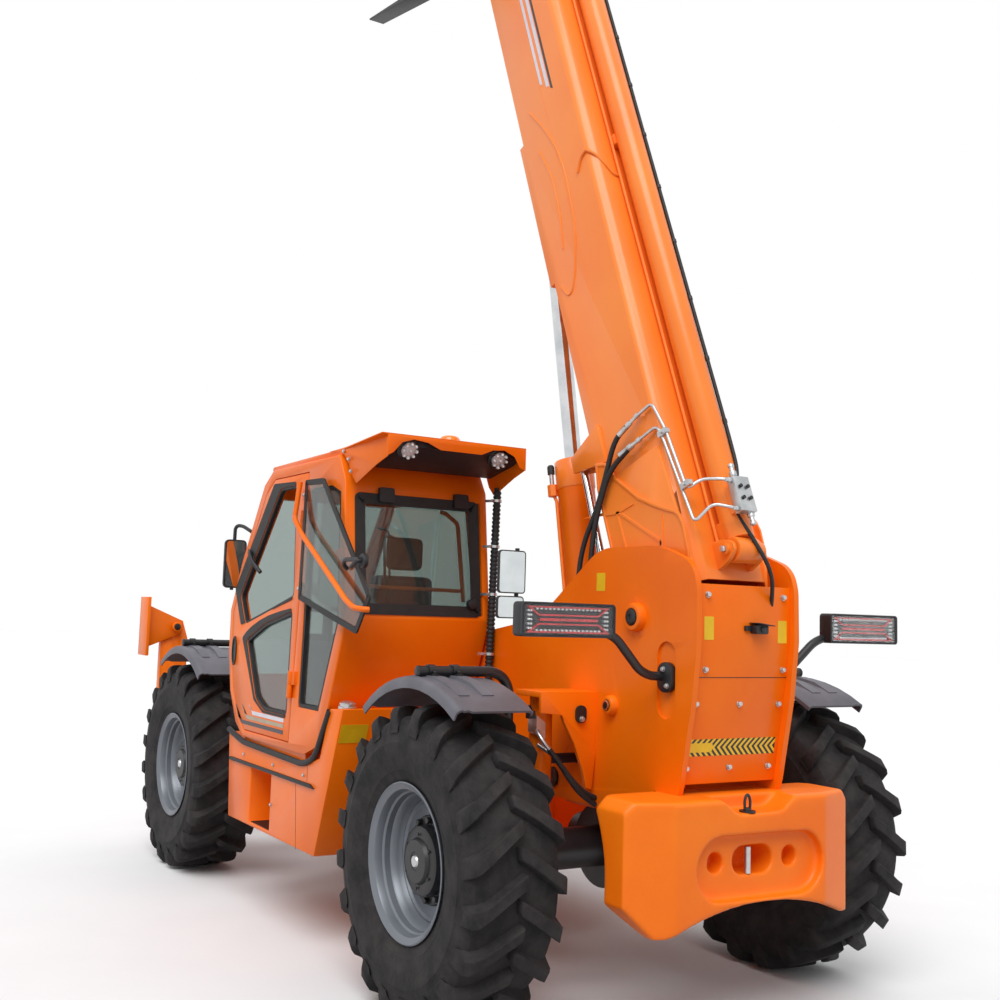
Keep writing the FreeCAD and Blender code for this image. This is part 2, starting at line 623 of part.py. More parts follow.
roof_hole = Part.makeBox(560, 600, 120, Vector(-450, 415, d.cab_roof.value - 80))
fixed_holes = [quarter_hole, right_hole, rear_glass, front_tool, roof_hole]

# Hinges of the door: barrels along the seam, the lower half of each on the door, the upper on the wall.
hinge_y = d.cab_outer + d.hinge_out
hinge_barrel = d.hinge_out - d.seat_play
seam = Vector(seam_top[0] - seam_low[0], 0, seam_top[1] - seam_low[1]).normalize()
door_hinges, wall_hinges = [], []
for height in (float(rise(1230)), float(rise(2080))):
    for halves, start, leaf in ((door_hinges, 0, 34), (wall_hinges, 70.5, -50)):
        foot = Vector(seam_low[0], float(hinge_y), seam_low[1]) + seam * ((height - seam_low[1]) / seam.z + start)
        top = foot + seam * 70
        halves.append(Part.makeCylinder(float(hinge_barrel), 70, foot, seam))
        corners = [(foot.x, foot.z), (foot.x + leaf, foot.z), (top.x + leaf, top.z), (top.x, top.z)]
        halves.append(prism(corners, d.cab_outer, hinge_y))

# The upper window of the door opens by itself and is latched back on three keepers of the cab wall.
window_low = d.cab_outer + d.window_out
keepers = [prism(drawn_in_cab([(x0, z0), (x1, z0), (x1, z1), (x0, z1)]), d.cab_outer, window_low)
           for x0, x1, z0, z1 in ((-408, -345, 2280, 2310), (-386, -330, 1790, 1820), (-830, -795, 1960, 2000))]
cab_body = shell.cut([door_hole] + fixed_holes).fuse(wall_hinges + keepers)
node("cab_shell", feature("cab_shell", cab_body))
layer = prism(inset(cab_outline, 18), d.cab_inner + 18, d.cab_outer - 18).cut(
    prism(inset(cab_outline, 18 + d.glass_thick), d.cab_inner + 18 + d.glass_thick, d.cab_outer - 18 - d.glass_thick))
panes = [layer.common(tool) for tool in fixed_holes]
node("cab_glass", feature("cab_glass", Part.makeCompound([solid for pane in panes for solid in pane.Solids])))

# Door with a pane in its lower half. It swings on a hinge line along its rear seam.
door_solid = prism(door_outline, d.cab_outer - wall, d.cab_outer)
door_shell = door_solid.cut(left_holes).fuse(door_hinges)
node("door", feature("door", door_shell))
pane_low = d.cab_outer - 24
node("door_glass", feature("door_glass", prism(windows_left[1], pane_low, pane_low + d.glass_thick)))

# The upper window, one pane in a thin frame.
swung = drawn_in_cab([(-396, 2374), (-632, 2366), (-1225, 1769), (-1085, 1590), (-713, 1671), (-366, 1750)])
node("upper_window", feature("upper_window", prism(swung, window_low, window_low + 9)))

# Roof cap with its visor over the rear window, two work lamps and a beacon.
roof_points = [
    (232, d.cab_roof), (225, d.cab_roof + 20), (-700, d.cab_roof + 30), (-1165, d.cab_roof + 65),
    (-1158, d.cab_roof - 50), (-960, d.cab_roof - 66), (-802, rise(2356)), (-722, d.cab_roof),
]
cap = plate("cab_roof_cap", "XZ", roof_points, d.cab_inner - 10, d.cab_outer - 20)
visor_hollow = box("visor_hollow", (-1140, -830), (d.cab_inner + 10, d.cab_outer - 40),
                   (d.cab_roof - 140, d.cab_roof + 22))
roof = cut("cab_roof_body", cap, [visor_hollow])
node("cab_roof", roof)
lamps = [rod("work_lamp_%d" % n, "X", (y, d.cab_roof + 8), 42, -1205, -1150) for n, y in enumerate((435, 960))]
lamps.append(rod("beacon", "Z", (-912, 600), 48, d.cab_roof + 40, d.cab_roof + 160))
node("roof_lamps", cut("roof_lamps_body", join("roof_lamps_set", lamps), [roof]))

# Inside: seat, console and steering column.
seat_parts = boxes("seat", [
    ((-560, -120), (520, 910), (1290, 1400)), ((-640, -520), (530, 900), (1400, 1960)),
    ((-425, -180), (580, 850), (d.cab_floor + wall, 1290)),
])
node("seat", join("seat_body", seat_parts))
column = [box("console", (290, 420), (560, 880), (d.cab_floor + wall, 1560)),
          rod("steering_post", "Z", (250, 715), 28, 1200, 1690), box("post_foot", (222, 300), (690, 740), (1200, 1260))]
ring = doc.addObject("Part::Torus", "steering_rim")
ring.Radius1 = 185
ring.Radius2 = 15
place(ring, 250, 715, 1700)
spokes = box("steering_spokes", (75, 425), (695, 735), (1690, 1708))
node("steering_console", join("steering_console_body", column + [ring, spokes]))

# Tank and step box below the cab, with the rubber strip that the cab sits on.
tank_outline = [
    (640, d.box_bottom), (-620, d.box_bottom), (-893, 1225), (-740, 1215), (-640, d.box_top + 48),
    (-480, d.box_top), (470, d.box_top), (690, d.box_top + 50),
]
tank = plate("tank_body", "XZ", tank_outline, outer, d.box_outer)
step = box("step_recess", (-8, 300), (d.box_outer - 180, d.box_outer + 5), (500, 800))
node("tank_box", cut("tank_box_body", tank, [step]))
node("cab_trim", box("cab_trim_strip", (-430, 460), (d.cab_inner + 20, d.cab_outer - 10), (d.box_top, d.cab_floor)))

# Engine side: tray, engine block and a hood that lifts on its inner edge.
tray = box("engine_tray_box", (-d.hood_back, d.hood_front), (-d.box_outer, -outer), (d.box_bottom, d.tray_top))
node("engine_tray", tray)
node("engine", box("engine_block", (-420, 480), (-980, -420), (d.tray_top, 1240)))
skin = d.hood_wall
hood_low = d.tray_top + d.seat_play
hood_view = [(-d.box_outer, hood_low), (-d.box_outer, d.hood_top - 180), (-d.box_outer + 150, d.hood_top),
             (-hinge_side, d.hood_top), (-hinge_side, hood_low)]
hood_outer = plate("hood_outer", "YZ", hood_view, -d.hood_back, d.hood_front)
hood_in = [(-d.box_outer + skin, hood_low - 5), (-d.box_outer + skin, d.hood_top - 187),
           (-d.box_outer + 157, d.hood_top - skin), (-hinge_side + 5, d.hood_top - skin),
           (-hinge_side + 5, hood_low - 5)]
hood_inner = plate("hood_inner", "YZ", hood_in, -d.hood_back + skin, d.hood_front - skin)
hood_shell = cut("engine_hood_shell", hood_outer, [hood_inner])
hood_bar = rod("hood_hinge_bar", "X", (-hinge_side, hinge_height), d.hinge_radius, -d.hood_back + 60, d.hood_front - 60)
node("engine_hood", join("engine_hood_body", [hood_shell, hood_bar]))

# Boom. All of it is drawn along X from its pivot, then turned up to the boom angle.
rest = (-d.pivot_back, 0, d.pivot_height)


def raise_up(thing):
    return place(thing, *rest, axis=(0, -1, 0), angle=d.boom_angle)


def section_size(level):
    return (d.boom_half - d.section_step * level, d.boom_low - d.section_step * level,
            d.boom_high - d.section_step * level)


def section_view(level, wall=0):
    """A section's outline from behind, drawn in by a wall's thickness. Its upper edges are bevelled."""
    half, low, high = [reach - wall for reach in section_size(level)]
    bevel = d.boom_bevel - (2 - math.sqrt(2)) * size(wall)
    return [(-half, -low), (half, -low), (half, high - bevel), (half - bevel, high), (-half + bevel, high),
            (-half, high - bevel)]


last_end = d.boom_length + d.section_out * 3
head_along = last_end + d.head_reach
sections = []
for level, start in enumerate((45, 160, 220, 280)):
    half, low, high = section_size(level)
    end = d.boom_length + d.section_out * level
    skin_bar = plate("section_%d_skin" % level, "YZ", section_view(level), start, end)
    hollow = plate("section_%d_hollow" % level, "YZ", section_view(level, d.boom_wall), start - 5, end + 5)
    tube = cut("section_%d_tube" % level, skin_bar, [hollow])
    extras = []
    if level < 3:
        pad_high = d.section_gap - d.pin_play
        inside = half - d.boom_wall
        floor = -low + d.boom_wall
        roof = high - d.boom_wall
        extras += boxes("pads_%d" % level, [
            ((end - 120, end - 20), (-inside * 0.7, inside * 0.7), (floor, floor + pad_high)),
            ((end - 120, end - 20), (-inside * 0.7, inside * 0.7), (roof - pad_high, roof)),
            ((end - 120, end - 20), (inside - pad_high, inside), (floor + 90, roof - 90)),
            ((end - 120, end - 20), (-inside, -inside + pad_high), (floor + 90, roof - 90)),
        ])
    sections.append([tube, extras])

# Base section: tail plates with the pivot hub, ears for the lift and levelling cylinders, doublers.
ear_gap = d.gland_radius * 0.32 + d.side_play
tail_view = [(-60, -100), (60, -150), (700, -150), (700, 300), (120, 335), (10, 300), (-90, 90)]
lift_pin_place = (d.lift_along, -d.lift_below)
base_extras = []
for word, span in zip(("left", "right"), both_sides(d.boom_half, d.boom_half + 16)):
    base_extras.append(plate("tail_plate_" + word, "XZ", tail_view, *span))
hub_bar = rod("pivot_hub", "Y", (0, 0), 105, -inner + d.side_play, inner - d.side_play)
hub_hole = rod("pivot_hole", "Y", (0, 0), d.pivot_pin + d.pin_play, -inner, inner)
for word, span in zip(("left", "right"), both_sides(95, d.boom_half)):
    base_extras.append(box("doubler_" + word, (d.lift_along - 770, d.lift_along + 140), span,
                           (-d.boom_low - 35, -d.boom_low)))
for word, span in zip(("left", "right"), both_sides(ear_gap, ear_gap + 25)):
    base_extras.append(plate("lift_ear_" + word, "XZ", [
        (d.lift_along - 190, -149), (d.lift_along - 70, -d.lift_below - 70), (d.lift_along + 70, -d.lift_below - 70),
        (d.lift_along + 190, -149)], *span))
for word, span in zip(("left", "right"), both_sides(ear_gap, ear_gap + 37)):
    base_extras.append(rod("lift_ear_pin_" + word, "Y", (d.lift_along, -d.lift_below), d.pin_radius, *span))
# Ears of the levelling cylinders, in columns: name, inner face, thickness, height of the upper edge.
level_rows = (("inner", d.level_side - 32, 12, -145), ("outer", d.boom_half, 16, -60))
for name, face, thick, upper in level_rows:
    for word, span in zip(("left", "right"), both_sides(face, face + thick)):
        base_extras.append(plate("level_ear_%s_%s" % (name, word), "XZ", [
            (d.level_along - 100, upper), (d.level_along - 40, -d.level_below - 40),
            (d.level_along + 40, -d.level_below - 40), (d.level_along + 100, upper)], *span))
base_raw = join("boom_base_raw", [sections[0][0], hub_bar] + sections[0][1] + base_extras)
base_tube = cut("boom_base_tube", base_raw, [hub_hole])
node("boom_base", raise_up(base_tube))

# Telescope sections. The second carries the end of the extension cylinder's rod.
reach_height = d.boom_high + d.reach_rise
lug = box("reach_lug", (d.boom_length + 20, d.boom_length + 80), (-60, 60), (d.boom_high - d.section_step - 2, reach_height + 50))
node("boom_second", raise_up(join("boom_second_tube", [sections[1][0], lug] + sections[1][1])))
node("boom_third", raise_up(join("boom_third_tube", [sections[2][0]] + sections[2][1])))

# Head: the last section's drop neck, open between its cheeks for the tilt cylinder.
head = (head_along, -d.head_below)
neck_view = [
    (last_end - 95, 200), (last_end - 95, -300), (last_end + 10, -760), (last_end + 110, -920),
    (head_along - 30, -d.head_below - 60), (head_along + 55, -d.head_below - 30),
    (head_along + 50, -900), (last_end + 95, -574), (last_end + 60, -443), (last_end + 10, -87), (last_end, 200),
]
cheeks = [plate("cheek_" + word, "XZ", neck_view, *span)
          for word, span in zip(("left", "right"), both_sides(d.neck_half - d.neck_wall, d.neck_half))]
webs = boxes("neck_web", [
    ((last_end - 95, last_end - 79), (-d.neck_half, d.neck_half), (-330, -88)),
    ((last_end - 6, last_end + 10), (-d.neck_half, d.neck_half), (-380, 200)),
])
end_plate = plate("head_end_plate", "YZ", section_view(3), last_end - 20, last_end - 8)
hub_face = d.neck_half - 40
hubs = [rod("head_hub_" + word, "Y", head, 66, *span)
        for word, span in zip(("left", "right"), both_sides(hub_face, d.neck_half))]
tilt_base = (last_end - 50, -420)
tilt_bar = rod("tilt_base_pin", "Y", tilt_base, 28, -d.neck_half, d.neck_half)
head_hole = rod("head_hole", "Y", head, d.pin_radius + d.pin_play, -d.neck_half - 5, d.neck_half + 5)
head_raw = join("boom_head_raw", [sections[3][0], end_plate, tilt_bar] + cheeks + webs + hubs)
node("boom_head", raise_up(cut("boom_head_tube", head_raw, [head_hole])))

# Carriage and forks, drawn level from the head pin and then tipped back.
turn_boom = FreeCAD.Rotation(Vector(0, -1, 0), d.boom_angle.value)
head_world = Vector(*[float(v) for v in rest]) + turn_boom.multVec(Vector(head_along.value, 0, -d.head_below.value))


def tip_back(thing):
    thing.Placement = FreeCAD.Placement(head_world, FreeCAD.Rotation(Vector(0, -1, 0), d.fork_angle.value))
    bind(thing, "Placement.Base.x", head_along * cosine(d.boom_angle) + d.head_below * sine(d.boom_angle) - d.pivot_back)
    bind(thing, "Placement.Base.z", d.pivot_height + head_along * sine(d.boom_angle) - d.head_below * cosine(d.boom_angle))
    bind(thing, "Placement.Rotation.Angle", d.fork_angle)
    return thing


shank = d.pin_behind - d.fork_thick
bars = boxes("carriage_bar", [
    ((shank - d.bar_thick, shank), (-d.carriage_half, d.carriage_half), (-215, -85)),
    ((shank - d.bar_thick, shank), (-d.carriage_half, d.carriage_half), (380, 516)),
    ((shank - d.bar_thick, shank), (-d.carriage_half, -d.carriage_half + 60), (-86, 381)),
    ((shank - d.bar_thick, shank), (d.carriage_half - 60, d.carriage_half), (-86, 381)),
])
ears = []
ear_low_y = d.neck_half + d.side_play
for word, span in zip(("left", "right"), both_sides(ear_low_y, ear_low_y + 30)):
    ears.append(plate("carriage_ear_" + word, "XZ", [
        (-75, -40), (-40, -75), (shank - d.bar_thick + 1, -200), (shank - d.bar_thick + 1, 500),
        (0, 420), (-75, 60)], *span))
for word, span in zip(("left", "right"), both_sides(hub_face, ear_low_y + 38)):
    ears.append(rod("head_pin_" + word, "Y", (0, 0), d.pin_radius, *span))
# Two ears between the cheeks take the tilt cylinder's rod.
tilt_eye = (20, 100)
tilt_face = hub_face - d.side_play
tilt_view = [(-12, 82), (-12, 118), (20, 134), (50, 120), (66, -90), (66, -205), (46, -205), (30, -60)]
for word, span in zip(("left", "right"), both_sides(tilt_face - 12, tilt_face)):
    ears.append(plate("tilt_ear_" + word, "XZ", tilt_view, *span))
for word, span in zip(("left", "right"), both_sides(34, tilt_face)):
    ears.append(rod("tilt_pin_" + word, "Y", tilt_eye, 17, *span))
node("carriage", tip_back(join("carriage_frame", bars + ears)))
forks = []
for word, side in (("left", 1), ("right", -1)):
    y = (side * d.fork_place - d.fork_wide / 2, side * d.fork_place + d.fork_wide / 2)
    view = [
        (shank, -d.pin_above), (d.pin_behind + d.fork_length, -d.pin_above), (d.pin_behind + d.fork_length, -d.pin_above + 12),
        (d.pin_behind + 420, -d.pin_above + d.fork_thick), (d.pin_behind, -d.pin_above + d.fork_thick),
        (d.pin_behind, 470), (shank, 470),
    ]
    forks.append(plate("fork_" + word, "XZ", view, *y))
node("forks", tip_back(join("forks_pair", forks)))

# Cylinders. Each is drawn along X from its base pin and turned to where its rod's eye stands.


def aim(thing, base, tip):
    """Puts a piece drawn along X at its base point, pointing at its tip point."""
    (x0, z0), (x1, z1) = [(float(p[0]), float(p[1])) for p in (base, tip)]
    angle = math.degrees(math.atan2(z1 - z0, x1 - x0))
    thing.Placement = FreeCAD.Placement(Vector(x0, 0, z0), FreeCAD.Rotation(Vector(0, -1, 0), angle))
    return thing


def on_boom(along, up):
    """A point of the boom's own frame, as it stands at rest."""
    return (-d.pivot_back + along * cosine(d.boom_angle) - up * sine(d.boom_angle),
            d.pivot_height + along * sine(d.boom_angle) + up * cosine(d.boom_angle))


def distance(a, b):
    return math.hypot(float(a[0]) - float(b[0]), float(a[1]) - float(b[1]))


def cylinder(name, base, tip, barrel, gland, rod_radius, length, eye, half_eye, base_pin, stroke, offsets=(0,)):
    """Barrel and rod of a cylinder, as two pieces, one pair for each offset across the machine.

    stroke is how far the rod still goes in from where it stands."""
    reach = distance(base, tip)
    bottom = size(base_pin) + 40
    tubes, shafts = [], []
    for number, y in enumerate(offsets):
        tag = "%s_%d" % (name, number)
        across = (size(y) - half_eye, size(y) + half_eye)
        whole = join(tag + "_whole", [
            rod(tag + "_tube", "X", (y, 0), barrel, size(base_pin) + 12, length),
            rod(tag + "_gland", "X", (y, 0), gland, size(length) - 70, length),
            rod(tag + "_foot", "Y", (0, 0), size(base_pin) + 30, *across),
        ])
        bore = rod(tag + "_bore", "X", (y, 0), size(rod_radius) + 4, bottom, size(length) + 1)
        pin_hole = rod(tag + "_hole", "Y", (0, 0), size(base_pin) + d.pin_play, across[0] - 1, across[1] + 1)
        tubes.append(cut(tag + "_barrel", whole, [bore, pin_hole]))
        inner_end = bottom + 5 + stroke
        shafts.append(join(tag + "_rod", [
            rod(tag + "_shaft", "X", (y, 0), rod_radius, inner_end, reach - eye * 0.6),
            rod(tag + "_piston", "X", (y, 0), size(rod_radius) + 3.6, inner_end, inner_end + 60),
            rod(tag + "_eye", "Y", (reach, 0), eye, *across),
        ]))
    both = join(name + "_barrels", tubes) if len(tubes) > 1 else tubes[0]
    rods = join(name + "_rods", shafts) if len(shafts) > 1 else shafts[0]
    return aim(both, base, tip), aim(rods, base, tip)


lift_tip = on_boom(d.lift_along, -d.lift_below)
barrel_node, rod_node = cylinder("lift", lift_pin, lift_tip, d.barrel_radius, d.gland_radius, d.rod_radius,
                                 d.barrel_length, 72, ear_gap - d.side_play, d.pin_radius, 1145)
node("lift_barrel", barrel_node)
node("lift_rod", rod_node)
level_tip = on_boom(d.level_along, -d.level_below)
barrel_node, rod_node = cylinder("level", level_pin, level_tip, 42, 48, 18, 660, 36, 14, d.level_pin, 490,
                                 (-d.level_side, d.level_side))
node("level_barrels", barrel_node)
node("level_rods", rod_node)

reach_end = d.boom_length - d.reach_end
reach_tube = rod("reach_tube", "X", (0, reach_height), 65, 200, reach_end)
reach_bore = rod("reach_bore", "X", (0, reach_height), 39, 260, reach_end + 1)
reach_feet = boxes("reach_foot", [
    ((190, 290), (-60, 60), (d.boom_high, reach_height)),
    ((reach_end / 2, reach_end / 2 + 60), (-60, 60), (d.boom_high, reach_height - 40)),
    ((reach_end - 160, reach_end - 100), (-60, 60), (d.boom_high, reach_height - 40)),
])
reach_whole = join("reach_whole", [reach_tube] + reach_feet)
node("reach_barrel", raise_up(cut("reach_barrel_body", reach_whole, [reach_bore])))
reach_shaft = rod("reach_shaft", "X", (0, reach_height), 34.5, 820, d.boom_length + 20)
reach_collar = rod("reach_collar", "X", (0, reach_height), 52, d.boom_length + 6, d.boom_length + 20)
node("reach_rod", raise_up(join("reach_rod_body", [reach_shaft, reach_collar])))

tilt_turn = FreeCAD.Rotation(Vector(0, -1, 0), d.fork_angle.value)
tilt_point = head_world + tilt_turn.multVec(Vector(tilt_eye[0], 0, tilt_eye[1]))
tilt_from = on_boom(*tilt_base)
tilt_to = (tilt_point.x, tilt_point.z)
barrel_node, rod_node = cylinder("tilt", tilt_from, tilt_to, 42, 46, 24, 370, 34, 28, 28, 120)
node("tilt_barrel", barrel_node)
node("tilt_rod", rod_node)

# Stabilisers: a beam across the front, a leg at each end that folds up, and a foot on each leg.
beam_x = (frame_front, frame_front + d.beam_thick)
leg_mid = frame_front + d.beam_thick / 2
beam_rows = [(beam_x, (-d.beam_half, d.beam_half), (d.frame_bottom + 20, d.beam_top))]
for sign in (1, -1):
    low, high = sorted((sign * (d.beam_half.value - 1), sign * (d.leg_pin_out.value + 60)))
    for x in ((leg_mid - 49, leg_mid - 37), (leg_mid + 37, leg_mid + 49)):
        beam_rows.append((x, (low, high), (d.leg_pin_height - 60, d.leg_pin_height + 60)))
beam_parts = boxes("beam", beam_rows)
leg_pins = [rod("leg_pin_%d" % n, "X", (side * d.leg_pin_out, d.leg_pin_height), 28, leg_mid - 49, leg_mid + 49)
            for n, side in enumerate((1, -1))]
node("stabiliser_beam", join("stabiliser_beam_body", beam_parts + leg_pins))
foot_height = d.leg_pin_height + d.leg_length
for word, side in (("left", 1), ("right", -1)):
    y = side * d.leg_pin_out
    leg_view = [
        (y - 60, d.leg_pin_height - 60), (y + 60, d.leg_pin_height - 60), (y + d.leg_half, d.leg_pin_height + 110),
        (y + d.leg_half, foot_height - 90), (y + 55, foot_height + 45), (y - 55, foot_height + 45),
        (y - d.leg_half, foot_height - 90), (y - d.leg_half, d.leg_pin_height + 110),
    ]
    body = plate("leg_%s" % word, "YZ", leg_view, leg_mid - d.leg_thick / 2, leg_mid + d.leg_thick / 2)
    hole = rod("leg_hole_%s" % word, "X", (y, d.leg_pin_height), 28.5, leg_mid - 60, leg_mid + 60)
    foot_hole = rod("foot_hole_%s" % word, "X", (y, foot_height), 22.5, leg_mid - 60, leg_mid + 60)
    node("stabiliser_leg_" + word, cut("stabiliser_leg_%s_body" % word, body, [hole, foot_hole]))
    sole = side * (d.leg_pin_out + 205)
    soles = (sole, sole + d.foot_thick) if side > 0 else (sole - d.foot_thick, sole)
    foot = [box("foot_sole_" + word, (leg_mid - d.foot_wide / 2, leg_mid + d.foot_wide / 2), soles,
                (foot_height - d.foot_long / 2, foot_height + d.foot_long / 2))]
    for number, x in enumerate((leg_mid - 52, leg_mid + 38)):
        cheek_view = [(y - side * 45, foot_height - 45), (y - side * 45, foot_height + 45), (sole, foot_height + 150),
                      (sole, foot_height - 150)]
        foot.append(plate("foot_cheek_%s_%d" % (word, number), "YZ", cheek_view, x, x + 14))
    foot.append(rod("foot_pin_" + word, "X", (y, foot_height), 22, leg_mid - 45, leg_mid + 45))
    node("stabiliser_foot_" + word, join("stabiliser_foot_%s_body" % word, foot))

# Rear lamps, each on a tube that bends out from a flange on the side plate.
lamp_boxes = []
for word, side in (("left", 1), ("right", -1)):
    lamp_boxes.append(box("tail_lamp_" + word, (-tail + 160, -tail + 230), both_sides(615, 1065)[0 if side > 0 else 1], (1622, 1757)))
    flange = both_sides(outer, outer + 14)[0 if side > 0 else 1]
    bracket_tubes.append(box("lamp_flange_" + word, (-tail + 200, -tail + 285), flange, (1400, 1535)))
    arm_x = 243 - tail.value
    lamp_x = 215 - tail.value
    route = [Vector(arm_x, side * (outer.value + 10), 1468), Vector(arm_x, side * 430, 1468),
             Vector(lamp_x, side * 640, 1640), Vector(lamp_x, side * 900, 1640)]
    bracket_tubes.append(bent_tube("lamp_tube_" + word, route, d.lamp_tube.value / 2, d.tube_bend.value))
tail_lamps = join("tail_lamps_pair", lamp_boxes)
node("tail_lamps", tail_lamps)
node("bracket_tubes", cut("bracket_tubes_body", join("bracket_tubes_set", bracket_tubes), [tail_lamps]))

# Mirrors: one on an arm from the cab's front corner, two on a post that stands on a tube from the right plate.
mirror_posts = boxes("mirror", [
    ((705, 735), (1140, 1265), (rise(1990), rise(2330))), ((860, 890), (-1110, -925), (1930, 2245)),
    ((860, 890), (-1110, -930), (1720, 1900)), ((520, 712), (1092, 1122), (rise(2040), rise(2070))),
    ((700, 712), (1110, 1150), (rise(2040), rise(2070))),
])
mirror_posts.append(rod("mirror_post", "Z", (896, -1010), 16, 1105, 2260))
mirror_posts.append(rod("mirror_tube", "Y", (896, 1120), 18, -1026, -outer))
cab_block = feature("cab_block", cab_outer)
node("mirrors", cut("mirrors_body", join("mirrors_set", mirror_posts), [cab_block]))

# Axle locks: one each side, hung from a bracket on the tower over the rear axle's tube.
lock = []
lock_x = axles["rear"]
lock_top = d.level_pin_height + 51
lock_low = d.tyre_radius + d.axle_radius + 83
lock_rest = d.tyre_radius + d.axle_radius + d.seat_play
# Outline of the bracket's plate from behind, in columns: out from the side plate, down from its top.
lock_view = [
    (0, 0), (d.lock_reach, 0), (d.lock_reach, 92), (d.lock_reach - 114, 104), (d.lock_reach - 130, 138),
    (d.lock_reach - 184, 230), (d.lock_reach - 234, 350), (d.lock_reach - 252, d.lock_drop - 8),
    (d.lock_reach - 284, d.lock_drop), (0, d.lock_drop - 170),
]
for word, side in (("left", 1), ("right", -1)):
    lock_y = side * (outer + d.lock_out)
    span = both_sides(outer, outer + d.lock_reach)[0 if side > 0 else 1]
    view = [(side * (outer + out), lock_top - down) for out, down in lock_view]
    lock.append(plate("lock_back_" + word, "YZ", view, lock_x - 145, lock_x - 125))
    lock.append(box("lock_cap_" + word, (lock_x - 126, lock_x + 60), span, (lock_top - 26, lock_top)))
    lock.append(rod("lock_barrel_" + word, "Z", (lock_x, lock_y), d.lock_radius, lock_low, lock_top - 25))
    lock.append(rod("lock_rod_" + word, "Z", (lock_x, lock_y), 30, lock_rest, lock_low + 1))
node("axle_locks", join("axle_locks_pair", lock))

doc.recompute()
os.makedirs("parts", exist_ok=True)
for thing in doc.Objects:
    if "Invalid" in thing.State or "Error" in thing.State:
        raise RuntimeError("%s did not build" % thing.Label)
for label, thing in NODES.items():
    shape = thing.Shape
    if shape.isNull() or not shape.isValid():
        raise RuntimeError("%s has no valid shape" % label)
for label, thing in NODES.items():
    thing.Shape.exportStep("parts/%s.step" % label)
    print(label, len(thing.Shape.Solids), thing.Shape.optimalBoundingBox())
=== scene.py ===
import json
import math

import bmesh
import bpy
from mathutils import Matrix, Vector


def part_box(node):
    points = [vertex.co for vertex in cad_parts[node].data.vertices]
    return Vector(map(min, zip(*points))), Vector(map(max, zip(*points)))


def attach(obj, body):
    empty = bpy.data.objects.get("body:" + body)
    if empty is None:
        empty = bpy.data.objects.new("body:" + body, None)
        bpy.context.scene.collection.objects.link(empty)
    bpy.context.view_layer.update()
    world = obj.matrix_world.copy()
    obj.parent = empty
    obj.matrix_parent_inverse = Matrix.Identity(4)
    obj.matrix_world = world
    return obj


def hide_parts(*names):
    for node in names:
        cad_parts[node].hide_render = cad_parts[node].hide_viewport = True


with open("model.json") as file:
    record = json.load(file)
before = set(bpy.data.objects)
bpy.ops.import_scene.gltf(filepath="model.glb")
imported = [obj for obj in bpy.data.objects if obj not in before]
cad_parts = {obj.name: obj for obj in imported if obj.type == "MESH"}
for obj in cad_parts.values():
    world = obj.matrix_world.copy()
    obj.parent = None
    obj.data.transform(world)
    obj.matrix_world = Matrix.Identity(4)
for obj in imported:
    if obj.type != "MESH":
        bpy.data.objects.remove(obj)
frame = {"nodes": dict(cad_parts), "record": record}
bpy.ops.object.select_all(action="DESELECT")
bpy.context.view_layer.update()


# Camera. It stands behind the machine's left side, a little above axle height, and looks slightly up,
# as a person would who photographs the raised boom. All three angles and the place were solved from the photo.
camera_place = Vector((-6.1208, 3.5570, 1.6997))
camera_yaw, camera_pitch, camera_roll = (math.radians(value) for value in (-30.56, 5.63, 1.86))
focal_length_in_pixels = 1175.94
sensor = 36.0
ahead = Vector((math.cos(camera_yaw) * math.cos(camera_pitch), math.sin(camera_yaw) * math.cos(camera_pitch),
                math.sin(camera_pitch)))
level_right = Vector((math.sin(camera_yaw), -math.cos(camera_yaw), 0))
level_up = level_right.cross(ahead)
right = level_right * math.cos(camera_roll) + level_up * math.sin(camera_roll)
upward = level_up * math.cos(camera_roll) - level_right * math.sin(camera_roll)
bpy.ops.object.camera_add(location=camera_place)
camera = bpy.context.object
camera.name = "camera"
camera.matrix_world = Matrix.Translation(camera_place) @ Matrix((right, upward, -ahead)).transposed().to_4x4()
camera.data.sensor_width = sensor
camera.data.lens = focal_length_in_pixels * sensor / 1000
camera.data.shift_x = 0.0322
camera.data.shift_y = -0.0017
camera.data.clip_end = 200
bpy.context.scene.camera = camera
bpy.context.scene.view_settings.view_transform = "Standard"


# Floor and light. A plain pale studio floor that runs far back, a white surround, and soft light from above,
# like the overcast sky that the machine stood under.
def paint_value(code):
    """The linear colour of an sRGB hex code, with full opacity."""
    parts = [int(code[start:start + 2], 16) / 255 for start in (1, 3, 5)]
    return tuple(part / 12.92 if part <= 0.04045 else ((part + 0.055) / 1.055) ** 2.4 for part in parts) + (1,)


def add_node(owner, kind, inputs=None, **settings):
    """Adds one node to a finish. An input is a value, or a (node, output) pair that is linked to it."""
    node = owner.node_tree.nodes.new("ShaderNode" + kind)
    for key, value in settings.items():
        setattr(node, key, value)
    for key, value in (inputs or {}).items():
        if isinstance(value, tuple) and isinstance(value[0], bpy.types.Node):
            owner.node_tree.links.new(value[0].outputs[value[1]], node.inputs[key])
        else:
            node.inputs[key].default_value = value
    return node


def new_finish(name):
    """An empty finish with its shader, ready for nodes."""
    finish = bpy.data.materials.new(name)
    finish.use_nodes = True
    return finish, finish.node_tree.nodes["Principled BSDF"]


def wear(piece, finish):
    """Gives a piece one finish all over."""
    piece.data.materials.clear()
    piece.data.materials.append(finish)


